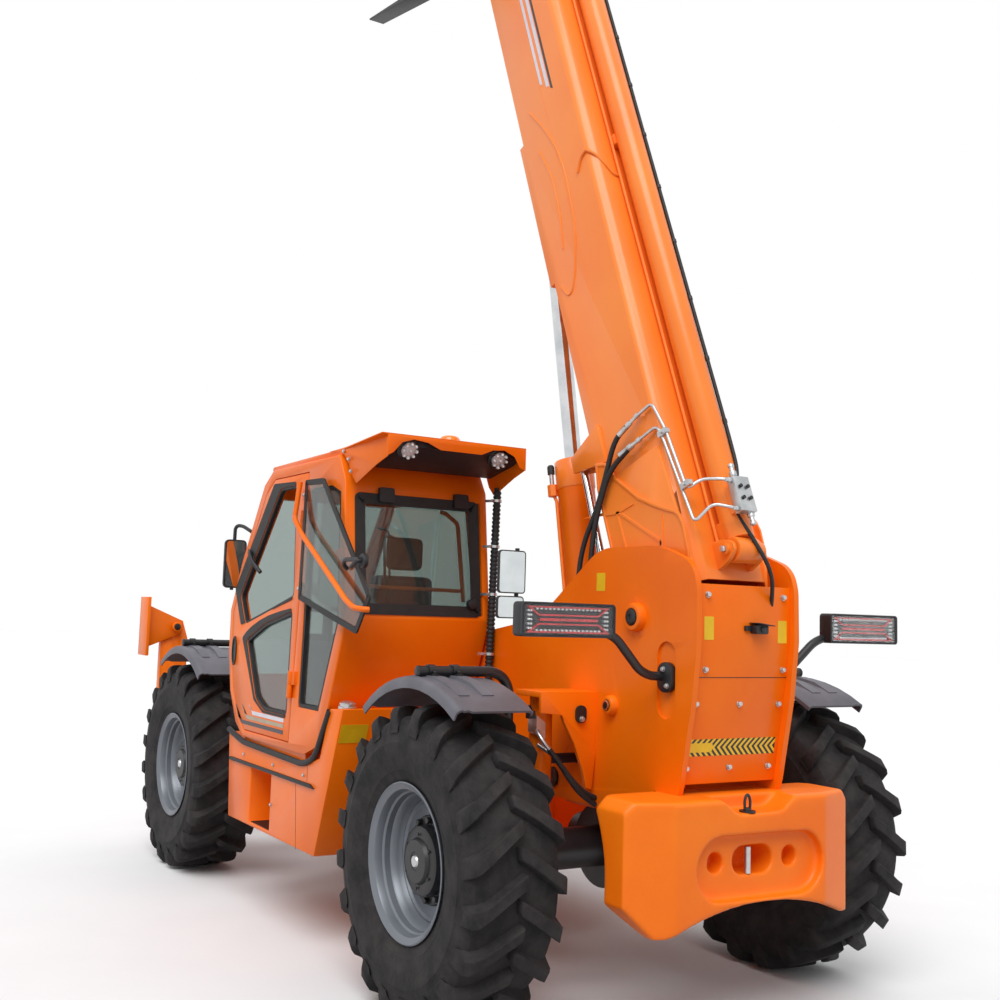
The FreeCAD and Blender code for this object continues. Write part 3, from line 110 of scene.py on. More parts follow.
world = bpy.data.worlds.new("white_surround")
bpy.context.scene.world = world
world.use_nodes = True
world.node_tree.nodes.clear()
ray = add_node(world, "LightPath")
seen = add_node(world, "Math", {0: (ray, "Is Camera Ray"), 1: (ray, "Is Glossy Ray")}, operation="MAXIMUM")
seen_through = add_node(world, "Math", {0: (seen, 0), 1: (ray, "Is Transmission Ray")}, operation="MAXIMUM")
heading = add_node(world, "TexCoord")
heights = add_node(world, "SeparateXYZ", {"Vector": (heading, "Generated")})
dome = add_node(world, "MapRange", {"Value": (heights, "Z"), "From Min": -0.1, "From Max": 0.75, "To Min": 0.2,
                                    "To Max": 0.92})
sky_level = add_node(world, "Mix", {"Factor": (seen_through, 0), "A": (dome, "Result"), "B": 1.0})
sky = add_node(world, "Background", {"Color": (1, 1, 1, 1), "Strength": (sky_level, "Result")})
add_node(world, "OutputWorld", {"Surface": (sky, 0)})

bpy.ops.mesh.primitive_circle_add(vertices=96, radius=60, fill_type="NGON")
floor = bpy.context.object
floor.name = "floor"
concrete, surface = new_finish("pale_floor")
ground_place = add_node(concrete, "TexCoord")
ground_cloud = add_node(concrete, "TexNoise", {"Vector": (ground_place, "Object"), "Scale": 1.2, "Detail": 4})
ground_tone = add_node(concrete, "ValToRGB", {"Fac": (ground_cloud, "Fac")})
ground_tone.color_ramp.elements[0].color = paint_value("#E2E2E4")
ground_tone.color_ramp.elements[1].color = paint_value("#ECECED")
eye = add_node(concrete, "LightPath")
eye_or_gloss = add_node(concrete, "Math", {0: (eye, "Is Camera Ray"), 1: (eye, "Is Glossy Ray")}, operation="MAXIMUM")
pale = add_node(concrete, "Math", {0: (eye_or_gloss, 0), 1: (eye, "Is Transmission Ray")}, operation="MAXIMUM")
ground = add_node(concrete, "Mix", {"Factor": (pale, 0)}, data_type="RGBA")
ground.inputs[6].default_value = paint_value("#A2A1A3")
concrete.node_tree.links.new(ground_tone.outputs["Color"], ground.inputs[7])
concrete.node_tree.links.new(ground.outputs[2], surface.inputs["Base Color"])
surface.inputs["Roughness"].default_value = 0.75
wear(floor, concrete)

bpy.ops.object.light_add(type="SUN", location=(-4, 6, 12))
overcast = bpy.context.object
overcast.name = "overcast_sun"
overcast.data.energy = 1.95
overcast.data.angle = math.radians(40)
overcast.rotation_euler = Vector((0.42, -0.42, -0.80)).to_track_quat("-Z", "Y").to_euler()


# Tyres. Radial farm tyres of black rubber, moulded with twenty slanted lugs on each side of the tread,
# set half a pitch apart. Their upper ends meet near the middle, seen from behind.
def spot(x, y, z):
    """A place on the machine, from millimetres."""
    return Vector((x, y, z)) * 0.001


def finish_mesh(name, body, finish, replaced=(), smooth=40):
    """Names the piece at hand, smooths it by angle, paints it and hangs it on its body."""
    piece = bpy.context.object
    piece.name = name
    bpy.ops.object.mode_set(mode="OBJECT")
    bpy.ops.object.select_all(action="DESELECT")
    piece.select_set(True)
    bpy.context.view_layer.objects.active = piece
    bpy.ops.object.transform_apply(location=True, rotation=True, scale=True)
    if smooth:
        bpy.ops.object.shade_smooth_by_angle(angle=math.radians(smooth))
    wear(piece, finish)
    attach(piece, body)
    if replaced:
        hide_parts(*replaced)
    piece.select_set(False)
    return piece


def spun(profile, centre, axis, steps=64, closed=True):
    """A turned piece: a line of (distance along the axis, radius) in millimetres, spun round the axis."""
    axis = Vector(axis).normalized()
    out = Vector((0, 0, 1)) if abs(axis.z) < 0.9 else Vector((1, 0, 0))
    places = [centre + (axis * along + out * radius) * 0.001 for along, radius in profile]
    bpy.ops.mesh.primitive_plane_add(size=0.001, location=places[0])
    bpy.ops.object.mode_set(mode="EDIT")
    bpy.ops.mesh.merge(type="CENTER")
    for before, after in zip(places, places[1:]):
        bpy.ops.mesh.extrude_vertices_move(TRANSFORM_OT_translate={"value": after - before})
    bpy.ops.mesh.select_all(action="SELECT")
    if closed:
        bpy.ops.mesh.edge_face_add()
        bpy.ops.mesh.delete(type="ONLY_FACE")
        bpy.ops.mesh.select_all(action="SELECT")
    bpy.ops.mesh.spin(steps=steps, angle=math.tau, center=centre, axis=axis)
    bpy.ops.mesh.select_all(action="SELECT")
    bpy.ops.mesh.remove_doubles(threshold=0.00002)
    bpy.ops.mesh.normals_make_consistent(inside=False)
    bpy.ops.object.mode_set(mode="OBJECT")
    return bpy.context.object


def drawn_through(sections):
    """A solid drawn through closed sections of equally many places, each extruded on to the next."""
    bpy.ops.mesh.primitive_circle_add(vertices=len(sections[0]), fill_type="NGON")
    bpy.ops.object.mode_set(mode="EDIT")
    for number, section in enumerate(sections):
        if number:
            bpy.ops.mesh.extrude_region_move()
        mesh = bmesh.from_edit_mesh(bpy.context.object.data)
        cap = next(face for face in mesh.faces if face.select)
        for corner, place in zip(cap.verts, section):
            corner.co = place
    bpy.ops.mesh.select_all(action="SELECT")
    bpy.ops.mesh.normals_make_consistent(inside=False)
    bpy.ops.object.mode_set(mode="OBJECT")
    return bpy.context.object


def joined(pieces):
    """Several pieces made one object."""
    bpy.ops.object.select_all(action="DESELECT")
    for piece in pieces:
        piece.select_set(True)
    bpy.context.view_layer.objects.active = pieces[0]
    if len(pieces) > 1:
        bpy.ops.object.join()
    return bpy.context.object


def copied(piece):
    """A copy with a mesh of its own."""
    twin = piece.copy()
    twin.data = piece.data.copy()
    bpy.context.collection.objects.link(twin)
    return twin


def modified(piece, kind, **settings):
    """Adds a modifier, sets it and applies it."""
    modifier = piece.modifiers.new(kind.lower(), kind)
    for key, value in settings.items():
        setattr(modifier, key, value)
    bpy.ops.object.select_all(action="DESELECT")
    piece.select_set(True)
    bpy.context.view_layer.objects.active = piece
    bpy.ops.object.modifier_apply(modifier=modifier.name)
    return piece


# Rubber: near black, dusty brown grey where it has rolled, no gloss. The dust is drawn in patches of 60 mm.
tyre_rubber, surface = new_finish("moulded_tyre_rubber")
place = add_node(tyre_rubber, "TexCoord")
dust = add_node(tyre_rubber, "TexNoise", {"Vector": (place, "Object"), "Scale": 9, "Detail": 6, "Roughness": 0.65})
tone = add_node(tyre_rubber, "ValToRGB", {"Fac": (dust, "Fac")})
tone.color_ramp.elements[0].position = 0.35
tone.color_ramp.elements[0].color = paint_value("#1C1B1C")
tone.color_ramp.elements[1].position = 0.72
tone.color_ramp.elements[1].color = paint_value("#3A3636")
grain = add_node(tyre_rubber, "TexNoise", {"Vector": (place, "Object"), "Scale": 120, "Detail": 3})
skin = add_node(tyre_rubber, "Bump", {"Height": (grain, "Fac"), "Strength": 0.25, "Distance": 0.004})
tyre_rubber.node_tree.links.new(tone.outputs["Color"], surface.inputs["Base Color"])
tyre_rubber.node_tree.links.new(skin.outputs["Normal"], surface.inputs["Normal"])
surface.inputs["Roughness"].default_value = 0.82
surface.inputs["Specular IOR Level"].default_value = 0.3

tyre_radius = (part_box("tyre_rear_left")[1].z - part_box("tyre_rear_left")[0].z) * 500
half_width = (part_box("tyre_rear_left")[1].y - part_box("tyre_rear_left")[0].y) * 500
lug_count = 20
# Half of the carcass, in columns: distance from the middle, radius.
carcass_half = [(0, 611), (110, 609), (160, 603), (190, 590), (206, 566), (213, 530), (216, 500), (218, 497),
                (217, 480), (212, 440), (204, 400), (199, 385), (199, 380), (194, 372), (186, 352), (182, 338),
                (176, 331), (174, 318)]
# One lug, in columns: distance from the middle, shift round the tread, outer radius, half width outside,
# half width at its foot, radius at its foot.
lug_rows = [(-14, 40, 646, 22, 34, 600), (-6, 36, 655, 27, 35, 600), (30, 14, 655, 27, 36, 600),
            (90, -26, 654, 28, 38, 598), (150, -68, 651, 29, 41, 592), (192, -94, 645, 32, 46, 580),
            (211, -106, 622, 34, 50, 560), (219, -112, 584, 30, 48, 540), (216, -114, 556, 22, 38, 532)]


def lug_section(row, side):
    across, shift, radius, half, foot_half, foot_radius = row
    corners = [(shift - half, radius), (shift + half, radius), (shift + foot_half, foot_radius),
               (shift - foot_half, foot_radius)]
    return [spot(high * math.sin(round_by / tyre_radius), side * across, high * math.cos(round_by / tyre_radius))
            for round_by, high in corners]


carcass = spun([(-across, radius) for across, radius in reversed(carcass_half[1:])] + carcass_half,
               Vector((0, 0, 0)), (0, 1, 0), steps=90)
lugs = []
for side, phase in ((1, 0.0), (-1, 0.5)):
    lug = drawn_through([lug_section(row, side) for row in lug_rows])
    modified(lug, "BEVEL", width=0.003, segments=1, limit_method="ANGLE", angle_limit=math.radians(35))
    for number in range(lug_count):
        twin = copied(lug)
        twin.rotation_euler.y = (number + phase) * math.tau / lug_count
        lugs.append(twin)
    bpy.data.objects.remove(lug)
tyre = joined([carcass] + lugs)
bpy.ops.object.transform_apply(location=True, rotation=True, scale=True)

corners = ("front_left", "front_right", "rear_left", "rear_right")
hub_places = {}
for corner in corners:
    low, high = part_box("tyre_" + corner)
    hub_places[corner] = (low + high) / 2
    twin = copied(tyre)
    twin.location = hub_places[corner]
    bpy.context.view_layer.objects.active = twin
    finish_mesh("tyre_tread_" + corner, "road_wheel_" + corner, tyre_rubber,
                ["tyre_" + corner], smooth=32)
bpy.data.objects.remove(tyre)


# Wheels. Rolled steel rims with a stepped well, sprayed silver, a welded disc, and the black cast hub of the
# axle's final drive bolted through it.
rim_paint, surface = new_finish("silver_wheel_enamel")
place = add_node(rim_paint, "TexCoord")
mist = add_node(rim_paint, "TexNoise", {"Vector": (place, "Object"), "Scale": 6, "Detail": 3})
tone = add_node(rim_paint, "ValToRGB", {"Fac": (mist, "Fac")})
tone.color_ramp.elements[0].color = paint_value("#666A71")
tone.color_ramp.elements[1].color = paint_value("#7D8289")
rim_paint.node_tree.links.new(tone.outputs["Color"], surface.inputs["Base Color"])
surface.inputs["Metallic"].default_value = 0.35
surface.inputs["Roughness"].default_value = 0.38

black_enamel, surface = new_finish("black_chassis_enamel")
place = add_node(black_enamel, "TexCoord")
film = add_node(black_enamel, "TexNoise", {"Vector": (place, "Object"), "Scale": 14, "Detail": 5})
tone = add_node(black_enamel, "ValToRGB", {"Fac": (film, "Fac")})
tone.color_ramp.elements[0].color = paint_value("#141416")
tone.color_ramp.elements[1].color = paint_value("#232326")
black_enamel.node_tree.links.new(tone.outputs["Color"], surface.inputs["Base Color"])
surface.inputs["Roughness"].default_value = 0.42

zinc, surface = new_finish("zinc_plated_steel")
place = add_node(zinc, "TexCoord")
bloom = add_node(zinc, "TexNoise", {"Vector": (place, "Object"), "Scale": 40, "Detail": 2})
tone = add_node(zinc, "ValToRGB", {"Fac": (bloom, "Fac")})
tone.color_ramp.elements[0].color = paint_value("#A9ABAD")
tone.color_ramp.elements[1].color = paint_value("#D5D6D6")
zinc.node_tree.links.new(tone.outputs["Color"], surface.inputs["Base Color"])
surface.inputs["Metallic"].default_value = 0.85
surface.inputs["Roughness"].default_value = 0.34

# The rim's face seen from outside, in columns: distance outwards from its middle, radius.
rim_profile = [(-190, 329), (-176, 312), (-60, 306), (30, 296), (48, 282), (52, 268), (70, 276), (92, 281),
               (100, 289), (128, 292), (136, 300), (160, 304), (170, 312), (180, 326), (190, 331), (193, 326),
               (186, 318), (176, 300), (166, 296), (142, 292), (134, 284), (108, 281), (98, 272), (78, 268),
               (60, 258), (46, 250), (38, 250), (38, 290), (-60, 298), (-170, 304), (-184, 322)]
hub_profile = [(-60, 170), (38, 170), (38, 186), (60, 186), (66, 180), (66, 150), (72, 146), (110, 143), (116, 132),
               (118, 98), (126, 94), (134, 88), (136, 40), (132, 36), (132, 0)]
bolt_ring, hub_bolts = 166, 12


def bolt_head(place, axis, across=19, high=12, washer=True):
    """A hexagon bolt's head on its washer, sizes in millimetres."""
    axis = Vector(axis).normalized()
    turn = axis.to_track_quat("Z", "Y").to_euler()
    made = []
    if washer:
        bpy.ops.mesh.primitive_cylinder_add(vertices=20, radius=across * 0.00068, depth=0.003,
                                            location=place + axis * 0.0015, rotation=turn)
        made.append(bpy.context.object)
    bpy.ops.mesh.primitive_cylinder_add(vertices=6, radius=across * 0.00055, depth=high * 0.001,
                                        location=place + axis * (0.003 + high * 0.0005), rotation=turn)
    bpy.ops.object.mode_set(mode="EDIT")
    bpy.ops.mesh.select_all(action="SELECT")
    bpy.ops.mesh.bevel(offset=0.0012, segments=1, affect="EDGES")
    bpy.ops.object.mode_set(mode="OBJECT")
    made.append(bpy.context.object)
    return joined(made)


for corner in corners:
    side = 1 if "left" in corner else -1
    centre = hub_places[corner]
    out = Vector((0, side, 0))
    spun(rim_profile, centre, out, steps=96)
    finish_mesh("rim_" + corner, "road_wheel_" + corner, rim_paint, ["wheel_" + corner], smooth=35)
    spun([(38, 252), (38, 150), (50, 150), (50, 238), (60, 246), (60, 252)], centre, out, steps=96)
    finish_mesh("rim_disc_" + corner, "road_wheel_" + corner, rim_paint, smooth=35)
    spun(hub_profile, centre, out, steps=64, closed=False)
    finish_mesh("hub_" + corner, "road_wheel_" + corner, black_enamel, smooth=35)
    heads = []
    for number in range(hub_bolts):
        angle = number * math.tau / hub_bolts
        around = Vector((math.cos(angle), 0, math.sin(angle)))
        heads.append(bolt_head(centre + out * 0.066 + around * bolt_ring * 0.001, out, 26, 16))
        if number % 2:
            heads.append(bolt_head(centre + out * 0.118 + around * 0.112, out, 13, 6, washer=False))
    joined(heads)
    finish_mesh("hub_bolts_" + corner, "road_wheel_" + corner, black_enamel)
    spun([(132, 0.01), (139, 0.01), (139, 22), (132, 26)], centre, out, steps=24)
    finish_mesh("hub_cap_" + corner, "road_wheel_" + corner, zinc)
    stem = centre + out * 0.100 + Vector((-0.62, 0, 0.78)).normalized() * 0.262
    bpy.ops.mesh.primitive_torus_add(major_radius=0.034, minor_radius=0.006, location=stem,
                                     rotation=(math.radians(90), 0, 0), major_segments=24, minor_segments=8)
    finish_mesh("valve_guard_" + corner, "road_wheel_" + corner, black_enamel)


# Orange bodywork. Steel plate and sheet, shot blasted and sprayed with glossy orange enamel. The copies of the
# solids get rounded edges, as rolled and ground plate has them.
def mottled(name, pale, deep, gloss, scale=3.0, metal=0.0, relief=0.0, grain=60.0, coat=0.0, level=0.5):
    """A finish whose colour drifts between two tones, with a fine relief. Scales are repeats per metre."""
    finish, surface = new_finish(name)
    place = add_node(finish, "TexCoord")
    cloud = add_node(finish, "TexNoise", {"Vector": (place, "Object"), "Scale": scale, "Detail": 4})
    tone = add_node(finish, "ValToRGB", {"Fac": (cloud, "Fac")})
    tone.color_ramp.elements[0].position = 0.32
    tone.color_ramp.elements[0].color = paint_value(deep)
    tone.color_ramp.elements[1].position = 0.68
    tone.color_ramp.elements[1].color = paint_value(pale)
    finish.node_tree.links.new(tone.outputs["Color"], surface.inputs["Base Color"])
    if relief:
        ripple = add_node(finish, "TexNoise", {"Vector": (place, "Object"), "Scale": grain, "Detail": 3})
        skin = add_node(finish, "Bump", {"Height": (ripple, "Fac"), "Strength": relief, "Distance": 0.002})
        finish.node_tree.links.new(skin.outputs["Normal"], surface.inputs["Normal"])
    surface.inputs["Roughness"].default_value = gloss
    surface.inputs["Metallic"].default_value = metal
    surface.inputs["Coat Weight"].default_value = coat
    surface.inputs["Specular IOR Level"].default_value = level
    surface.inputs["Coat Roughness"].default_value = 0.12
    return finish


# Sprayed enamel: its colour drifts a little, and orange peel is drawn 25 mm wide. The casting is coarser.
body_orange = mottled("orange_body_enamel", "#FF7A08", "#F56C02", 0.34, 2.2, relief=0.06, grain=40, coat=0.06, level=0.28)
cast_orange = mottled("orange_enamel_on_casting", "#FF8010", "#F87206", 0.42, 2.6, relief=0.5, grain=75, coat=0.06, level=0.32)
# The boom's enamel is the same orange as the body, painted paler: a painted sheen that stands for the sky's reflection
# on its glossy faces. The lift cylinder's gland ring and pipe and the extension cylinder's foot and ears wear it too.
sheen_paled_boom_orange = mottled("orange_boom_enamel_with_painted_sheen", "#FF8C30", "#FC822A", 0.3, 2.2, relief=0.06, grain=40, coat=0.12, level=0.4)
pin_orange = mottled("orange_enamel_on_pins", "#F87006", "#E86002", 0.4, 8)
chrome = mottled("hard_chrome", "#DADBDC", "#C2C5C8", 0.12, 10, metal=1.0)
plastic_black = mottled("moulded_black_plastic", "#222226", "#17171A", 0.5, 12, relief=0.3, grain=260)
fender_grey = mottled("moulded_fender_plastic", "#6A6971", "#5A5960", 0.55, 7, relief=0.3, grain=180)
rubber_black = mottled("extruded_black_rubber", "#1E1E20", "#141415", 0.62, 20, relief=0.2, grain=140)
seat_cloth = mottled("woven_seat_cloth", "#2B2B30", "#1B1B1F", 0.9, 30, relief=0.6, grain=500)
fork_black = mottled("forged_fork_steel", "#2B2B2D", "#1C1C1E", 0.5, 9, metal=0.3, relief=0.3, grain=50)
engine_grey = mottled("cast_engine_iron", "#56585A", "#3C3E40", 0.6, 8, metal=0.4, relief=0.5, grain=90)
console_grey = mottled("moulded_console_plastic", "#3A3B3F", "#2B2C30", 0.55, 9, relief=0.3, grain=220)
alloy = mottled("machined_aluminium", "#C9CBCC", "#AEB1B3", 0.35, 14, metal=0.9)
label_yellow = mottled("yellow_label_film", "#F2C81E", "#E6B912", 0.4, 12)
stripe_white = mottled("white_stripe_film", "#E9E6F0", "#DEDAE6", 0.4, 12)
stripe_beige = mottled("beige_stripe_film", "#B9A98E", "#AD9C82", 0.4, 12)
stripe_dark = mottled("dark_stripe_film", "#3A3034", "#2E2629", 0.4, 12)
amber = mottled("amber_lens_plastic", "#FF8A10", "#F27400", 0.15, 12, coat=0.6)
lamp_red = mottled("red_lamp_plastic", "#D8202A", "#B0141E", 0.2, 12, coat=0.6)
lamp_white = mottled("lamp_reflector", "#F4F5F6", "#E2E4E6", 0.25, 16, metal=0.2)
mirror_silver = mottled("silvered_mirror", "#DDE1E2", "#CFD4D6", 0.04, 6, metal=1.0)

# Window glass is clear with a grey green cast, and see-through lenses use the same glass without the cast.
window_glass, surface = new_finish("tinted_window_glass")
surface.inputs["Base Color"].default_value = paint_value("#A7B4B0")
surface.inputs["Roughness"].default_value = 0.02
surface.inputs["Transmission Weight"].default_value = 0.94
surface.inputs["IOR"].default_value = 1.45
place = add_node(window_glass, "TexCoord")
wave = add_node(window_glass, "TexNoise", {"Vector": (place, "Object"), "Scale": 2.5, "Detail": 1})
skin = add_node(window_glass, "Bump", {"Height": (wave, "Fac"), "Strength": 0.04, "Distance": 0.01})
window_glass.node_tree.links.new(skin.outputs["Normal"], surface.inputs["Normal"])
lens_clear, surface = new_finish("clear_lens_plastic")
surface.inputs["Base Color"].default_value = paint_value("#F4F6F6")
surface.inputs["Roughness"].default_value = 0.03
surface.inputs["Transmission Weight"].default_value = 0.96
surface.inputs["IOR"].default_value = 1.49
surface.inputs["Alpha"].default_value = 0.35
place = add_node(lens_clear, "TexCoord")
wave = add_node(lens_clear, "TexWave", {"Vector": (place, "Object"), "Scale": 40, "Distortion": 0.0})
skin = add_node(lens_clear, "Bump", {"Height": (wave, "Fac"), "Strength": 0.08, "Distance": 0.002})
lens_clear.node_tree.links.new(skin.outputs["Normal"], surface.inputs["Normal"])

bodies_of = {}
for body_name, members in frame["record"]["behaviour"]["bodies"].items():
    for member in members:
        bodies_of[member] = body_name
slot_of = {row["node"]: row["material_slot"] for row in frame["record"]["subparts"]}
finish_of = {
    "body_paint": body_orange, "boom_paint": sheen_paled_boom_orange, "weight_paint": cast_orange, "rim_paint": rim_paint,
    "tyre_rubber": tyre_rubber, "strip_rubber": rubber_black, "guard_plastic": fender_grey,
    "black_metal": black_enamel, "window_glass": window_glass, "lamp_plastic": plastic_black,
    "seat_fabric": seat_cloth, "console_plastic": console_grey, "engine_iron": engine_grey, "rod_chrome": chrome,
    "axle_iron": black_enamel, "pin_steel": black_enamel, "fork_steel": fork_black, "mirror_face": plastic_black,
}
for node, thing in frame["nodes"].items():
    for painted in thing.material_slots:
        painted.material = finish_of[slot_of[node]]


def node_copy(node):
    """A copy of a solid with its doubles merged and its flats made whole, ready to be worked on."""
    source = frame["nodes"][node]
    piece = source.copy()
    piece.data = source.data.copy()
    piece.parent = None
    piece.matrix_world = Matrix.Identity(4)
    bpy.context.collection.objects.link(piece)
    bpy.ops.object.select_all(action="DESELECT")
    piece.select_set(True)
    bpy.context.view_layer.objects.active = piece
    bpy.ops.object.mode_set(mode="EDIT")
    bpy.ops.mesh.select_all(action="SELECT")
    bpy.ops.mesh.customdata_custom_splitnormals_clear()
    bpy.ops.mesh.remove_doubles(threshold=0.00005)
    bpy.ops.mesh.dissolve_limited(angle_limit=math.radians(1.0))
    bpy.ops.object.mode_set(mode="OBJECT")
    return piece


def round_edges(piece, chosen, width, steps=4):
    """Rounds the edges whose two ends pass a test, by a width in millimetres."""
    bpy.ops.object.select_all(action="DESELECT")
    piece.select_set(True)
    bpy.context.view_layer.objects.active = piece
    bpy.ops.object.mode_set(mode="EDIT")
    bpy.ops.mesh.select_mode(type="EDGE")
    bpy.ops.mesh.select_all(action="DESELECT")
    mesh = bmesh.from_edit_mesh(piece.data)
    for edge in mesh.edges:
        if chosen(edge.verts[0].co * 1000, edge.verts[1].co * 1000):
            edge.select = True
    bmesh.update_edit_mesh(piece.data)
    bpy.ops.mesh.bevel(offset=width * 0.001, segments=steps, affect="EDGES", clamp_overlap=True)
    bpy.ops.mesh.select_mode(type="VERT")
    bpy.ops.object.mode_set(mode="OBJECT")
    return piece


def softened(node, finish, width=4, steps=2, sharp=40, piece=None, smooth=38):
    """The copy of a solid with every sharp edge rounded by a width in millimetres, in the solid's place."""
    piece = piece or node_copy(node)
    if width:
        modified(piece, "BEVEL", width=width * 0.001, segments=steps, limit_method="ANGLE",
                 angle_limit=math.radians(sharp))
    bpy.context.view_layer.objects.active = piece
    return finish_mesh(node + "_dressed", bodies_of[node], finish, [node], smooth=smooth)


# Pieces that keep the solid's form, in columns: node, width of the rounded edge.
for node, width in (("cross_members", 3), ("rear_cover", 3), ("tank_box", 7),
                    ("engine_tray", 5), ("engine_hood", 9), ("stabiliser_beam", 5), ("stabiliser_leg_left", 6),
                    ("stabiliser_leg_right", 6), ("stabiliser_foot_left", 5), ("stabiliser_foot_right", 5),
                    ("boom_second", 4), ("boom_third", 4), ("boom_head", 5), ("carriage", 5),
                    ("reach_barrel", 4)):
    softened(node, sheen_paled_boom_orange if slot_of[node] == "boom_paint" else body_orange, width)
softened("forks", fork_black, 5)


# Cab. Folded and welded sheet round tubes, sprayed orange, with its corners rolled round. The copies of the
# solids get those round corners and round corners to their windows.
window_corners = {
    "cab_shell": [(-392, 2330), (-657, 2330), (-765, 2290), (-805, 1661), (-600, 1190), (-335, 1190)],
    "door": [(-214, 1760), (-184, 2370), (48, 2366), (610, 1769), (505, 1600), (133, 1681), (-207, 1690),
             (188, 1615), (470, 1515), (291, 1187), (154, 1130), (-185, 1130)],
}
wall_outside, wall_inside = 1130, 1088


def at_window_corner(node):
    def chosen(one, other):
        across = abs(one.y - other.y)
        same_place = math.hypot(one.x - other.x, one.z - other.z) < 2
        return (across > 30 and same_place and min(one.y, other.y) > 1000
                and any(math.hypot(one.x - x, one.z - z) < 4 for x, z in window_corners[node]))
    return chosen


def on_cab_edge(one, other):
    """The long outer edges at the back and on the roof, on both sides of the cab."""
    both = [(point.x, point.y, point.z) for point in (one, other)]
    on_side = all(abs(y - wall_outside) < 1 for x, y, z in both) or all(abs(y - 305) < 1 for x, y, z in both)
    at_back = all(x < -590 and z > 1000 for x, y, z in both)
    on_roof = all(z > 2475 for x, y, z in both)
    long_enough = math.dist(both[0], both[1]) > 100
    on_outline = all(z > 2475 or x < -875 or abs(x + 800) < 3 or abs(x + 720) < 3 or abs(x + 700) < 3
                     or abs(x + 601) < 3 for x, y, z in both)
    return on_side and long_enough and on_outline and (at_back or on_roof)


shell = round_edges(node_copy("cab_shell"), at_window_corner("cab_shell"), 32)
shell = round_edges(shell, on_cab_edge, 40, steps=5)
softened("cab_shell", body_orange, 3, steps=2, piece=shell)
leaf = round_edges(node_copy("door"), at_window_corner("door"), 32)
softened("door", body_orange, 4, steps=2, piece=leaf)


# Window rubber. A black extruded seal runs round each pane, pressed over the edge of the sheet.
def traced(places, depth, corner=0.0):
    """A flat plate: a line drawn from place to place, closed to a face and extruded by a depth, in metres."""
    bpy.ops.mesh.primitive_plane_add(size=0.001, location=places[0])
    bpy.ops.object.mode_set(mode="EDIT")
    bpy.ops.mesh.merge(type="CENTER")
    for before, after in zip(places, places[1:]):
        bpy.ops.mesh.extrude_vertices_move(TRANSFORM_OT_translate={"value": after - before})
    bpy.ops.mesh.select_all(action="SELECT")
    bpy.ops.mesh.edge_face_add()
    if corner:
        bpy.ops.mesh.select_all(action="SELECT")
        bpy.ops.mesh.bevel(offset=corner * 0.001, segments=4, affect="VERTICES")
        bpy.ops.mesh.select_all(action="SELECT")
    bpy.ops.mesh.extrude_region_move(TRANSFORM_OT_translate={"value": depth})
    bpy.ops.mesh.select_all(action="SELECT")
    bpy.ops.mesh.normals_make_consistent(inside=False)
    bpy.ops.object.mode_set(mode="OBJECT")
    return bpy.context.object


def ring_frame(places, width, depth, corner=0.0):
    """A flat frame inside a closed line, of a width in millimetres."""
    bpy.ops.mesh.primitive_plane_add(size=0.001, location=places[0])
    bpy.ops.object.mode_set(mode="EDIT")
    bpy.ops.mesh.merge(type="CENTER")
    for before, after in zip(places, places[1:]):
        bpy.ops.mesh.extrude_vertices_move(TRANSFORM_OT_translate={"value": after - before})
    bpy.ops.mesh.select_all(action="SELECT")
    bpy.ops.mesh.edge_face_add()
    if corner:
        bpy.ops.mesh.select_all(action="SELECT")
        bpy.ops.mesh.bevel(offset=corner * 0.001, segments=4, affect="VERTICES")
        bpy.ops.mesh.select_all(action="SELECT")
    bpy.ops.mesh.select_mode(type="FACE")
    bpy.ops.mesh.select_all(action="SELECT")
    bpy.ops.mesh.inset(thickness=width * 0.001, use_even_offset=True)
    bpy.ops.mesh.delete(type="FACE")
    bpy.ops.mesh.select_all(action="SELECT")
    bpy.ops.mesh.extrude_region_move(TRANSFORM_OT_translate={"value": depth})
    bpy.ops.mesh.select_all(action="SELECT")
    bpy.ops.mesh.normals_make_consistent(inside=False)
    bpy.ops.mesh.select_mode(type="VERT")
    bpy.ops.object.mode_set(mode="OBJECT")
    return bpy.context.object


quarter_line = window_corners["cab_shell"]
upper_line = window_corners["door"][:6]
lower_line = window_corners["door"][6:]
for name, line, body in (("quarter", quarter_line, "chassis"), ("upper", upper_line, "cab_door"),
                         ("lower", lower_line, "cab_door")):
    ring_frame([spot(x, 1104, z) for x, z in line], 20 if name != "upper" else 14, Vector((0, 0.023, 0)), corner=32)
    finish_mesh("seal_" + name, body, rubber_black)
# The door's panes are glued on and reach past the openings, with a printed black edge.
for name, outline, line in (
        ("upper", [(145, 2399), (702, 1805), (577, 1594), (-197, 1748), (-172, 2387)], upper_line),
        ("lower", [(541, 1521), (480, 1556), (397, 1590), (270, 1628), (140, 1657), (-30, 1683), (-190, 1702),
                   (-172, 1116), (160, 1118), (310, 1178), (349, 1240)], lower_line)):
    print_edge = traced([spot(x, 1130.1, z) for x, z in outline], Vector((0, 0.0025, 0)), corner=14)
    opening = traced([spot(x, 1100, z) for x, z in line], Vector((0, 0.060, 0)), corner=32)
    modified(print_edge, "BOOLEAN", operation="DIFFERENCE", object=opening, solver="EXACT")
    bpy.data.objects.remove(opening)
    bpy.ops.object.select_all(action="DESELECT")
    print_edge.select_set(True)
    bpy.context.view_layer.objects.active = print_edge
    finish_mesh("pane_edge_" + name, "cab_door", rubber_black)
rear_line = [(1076, 1684), (1076, 2290), (362, 2290), (362, 1684)]


def on_rear_wall(y, z, out=0):
    """A place on the cab's rear slope, some millimetres outside it."""
    lean = (z - 1661) / (2350 - 1661)
    return spot(-878 + 78 * lean - out, y, z)


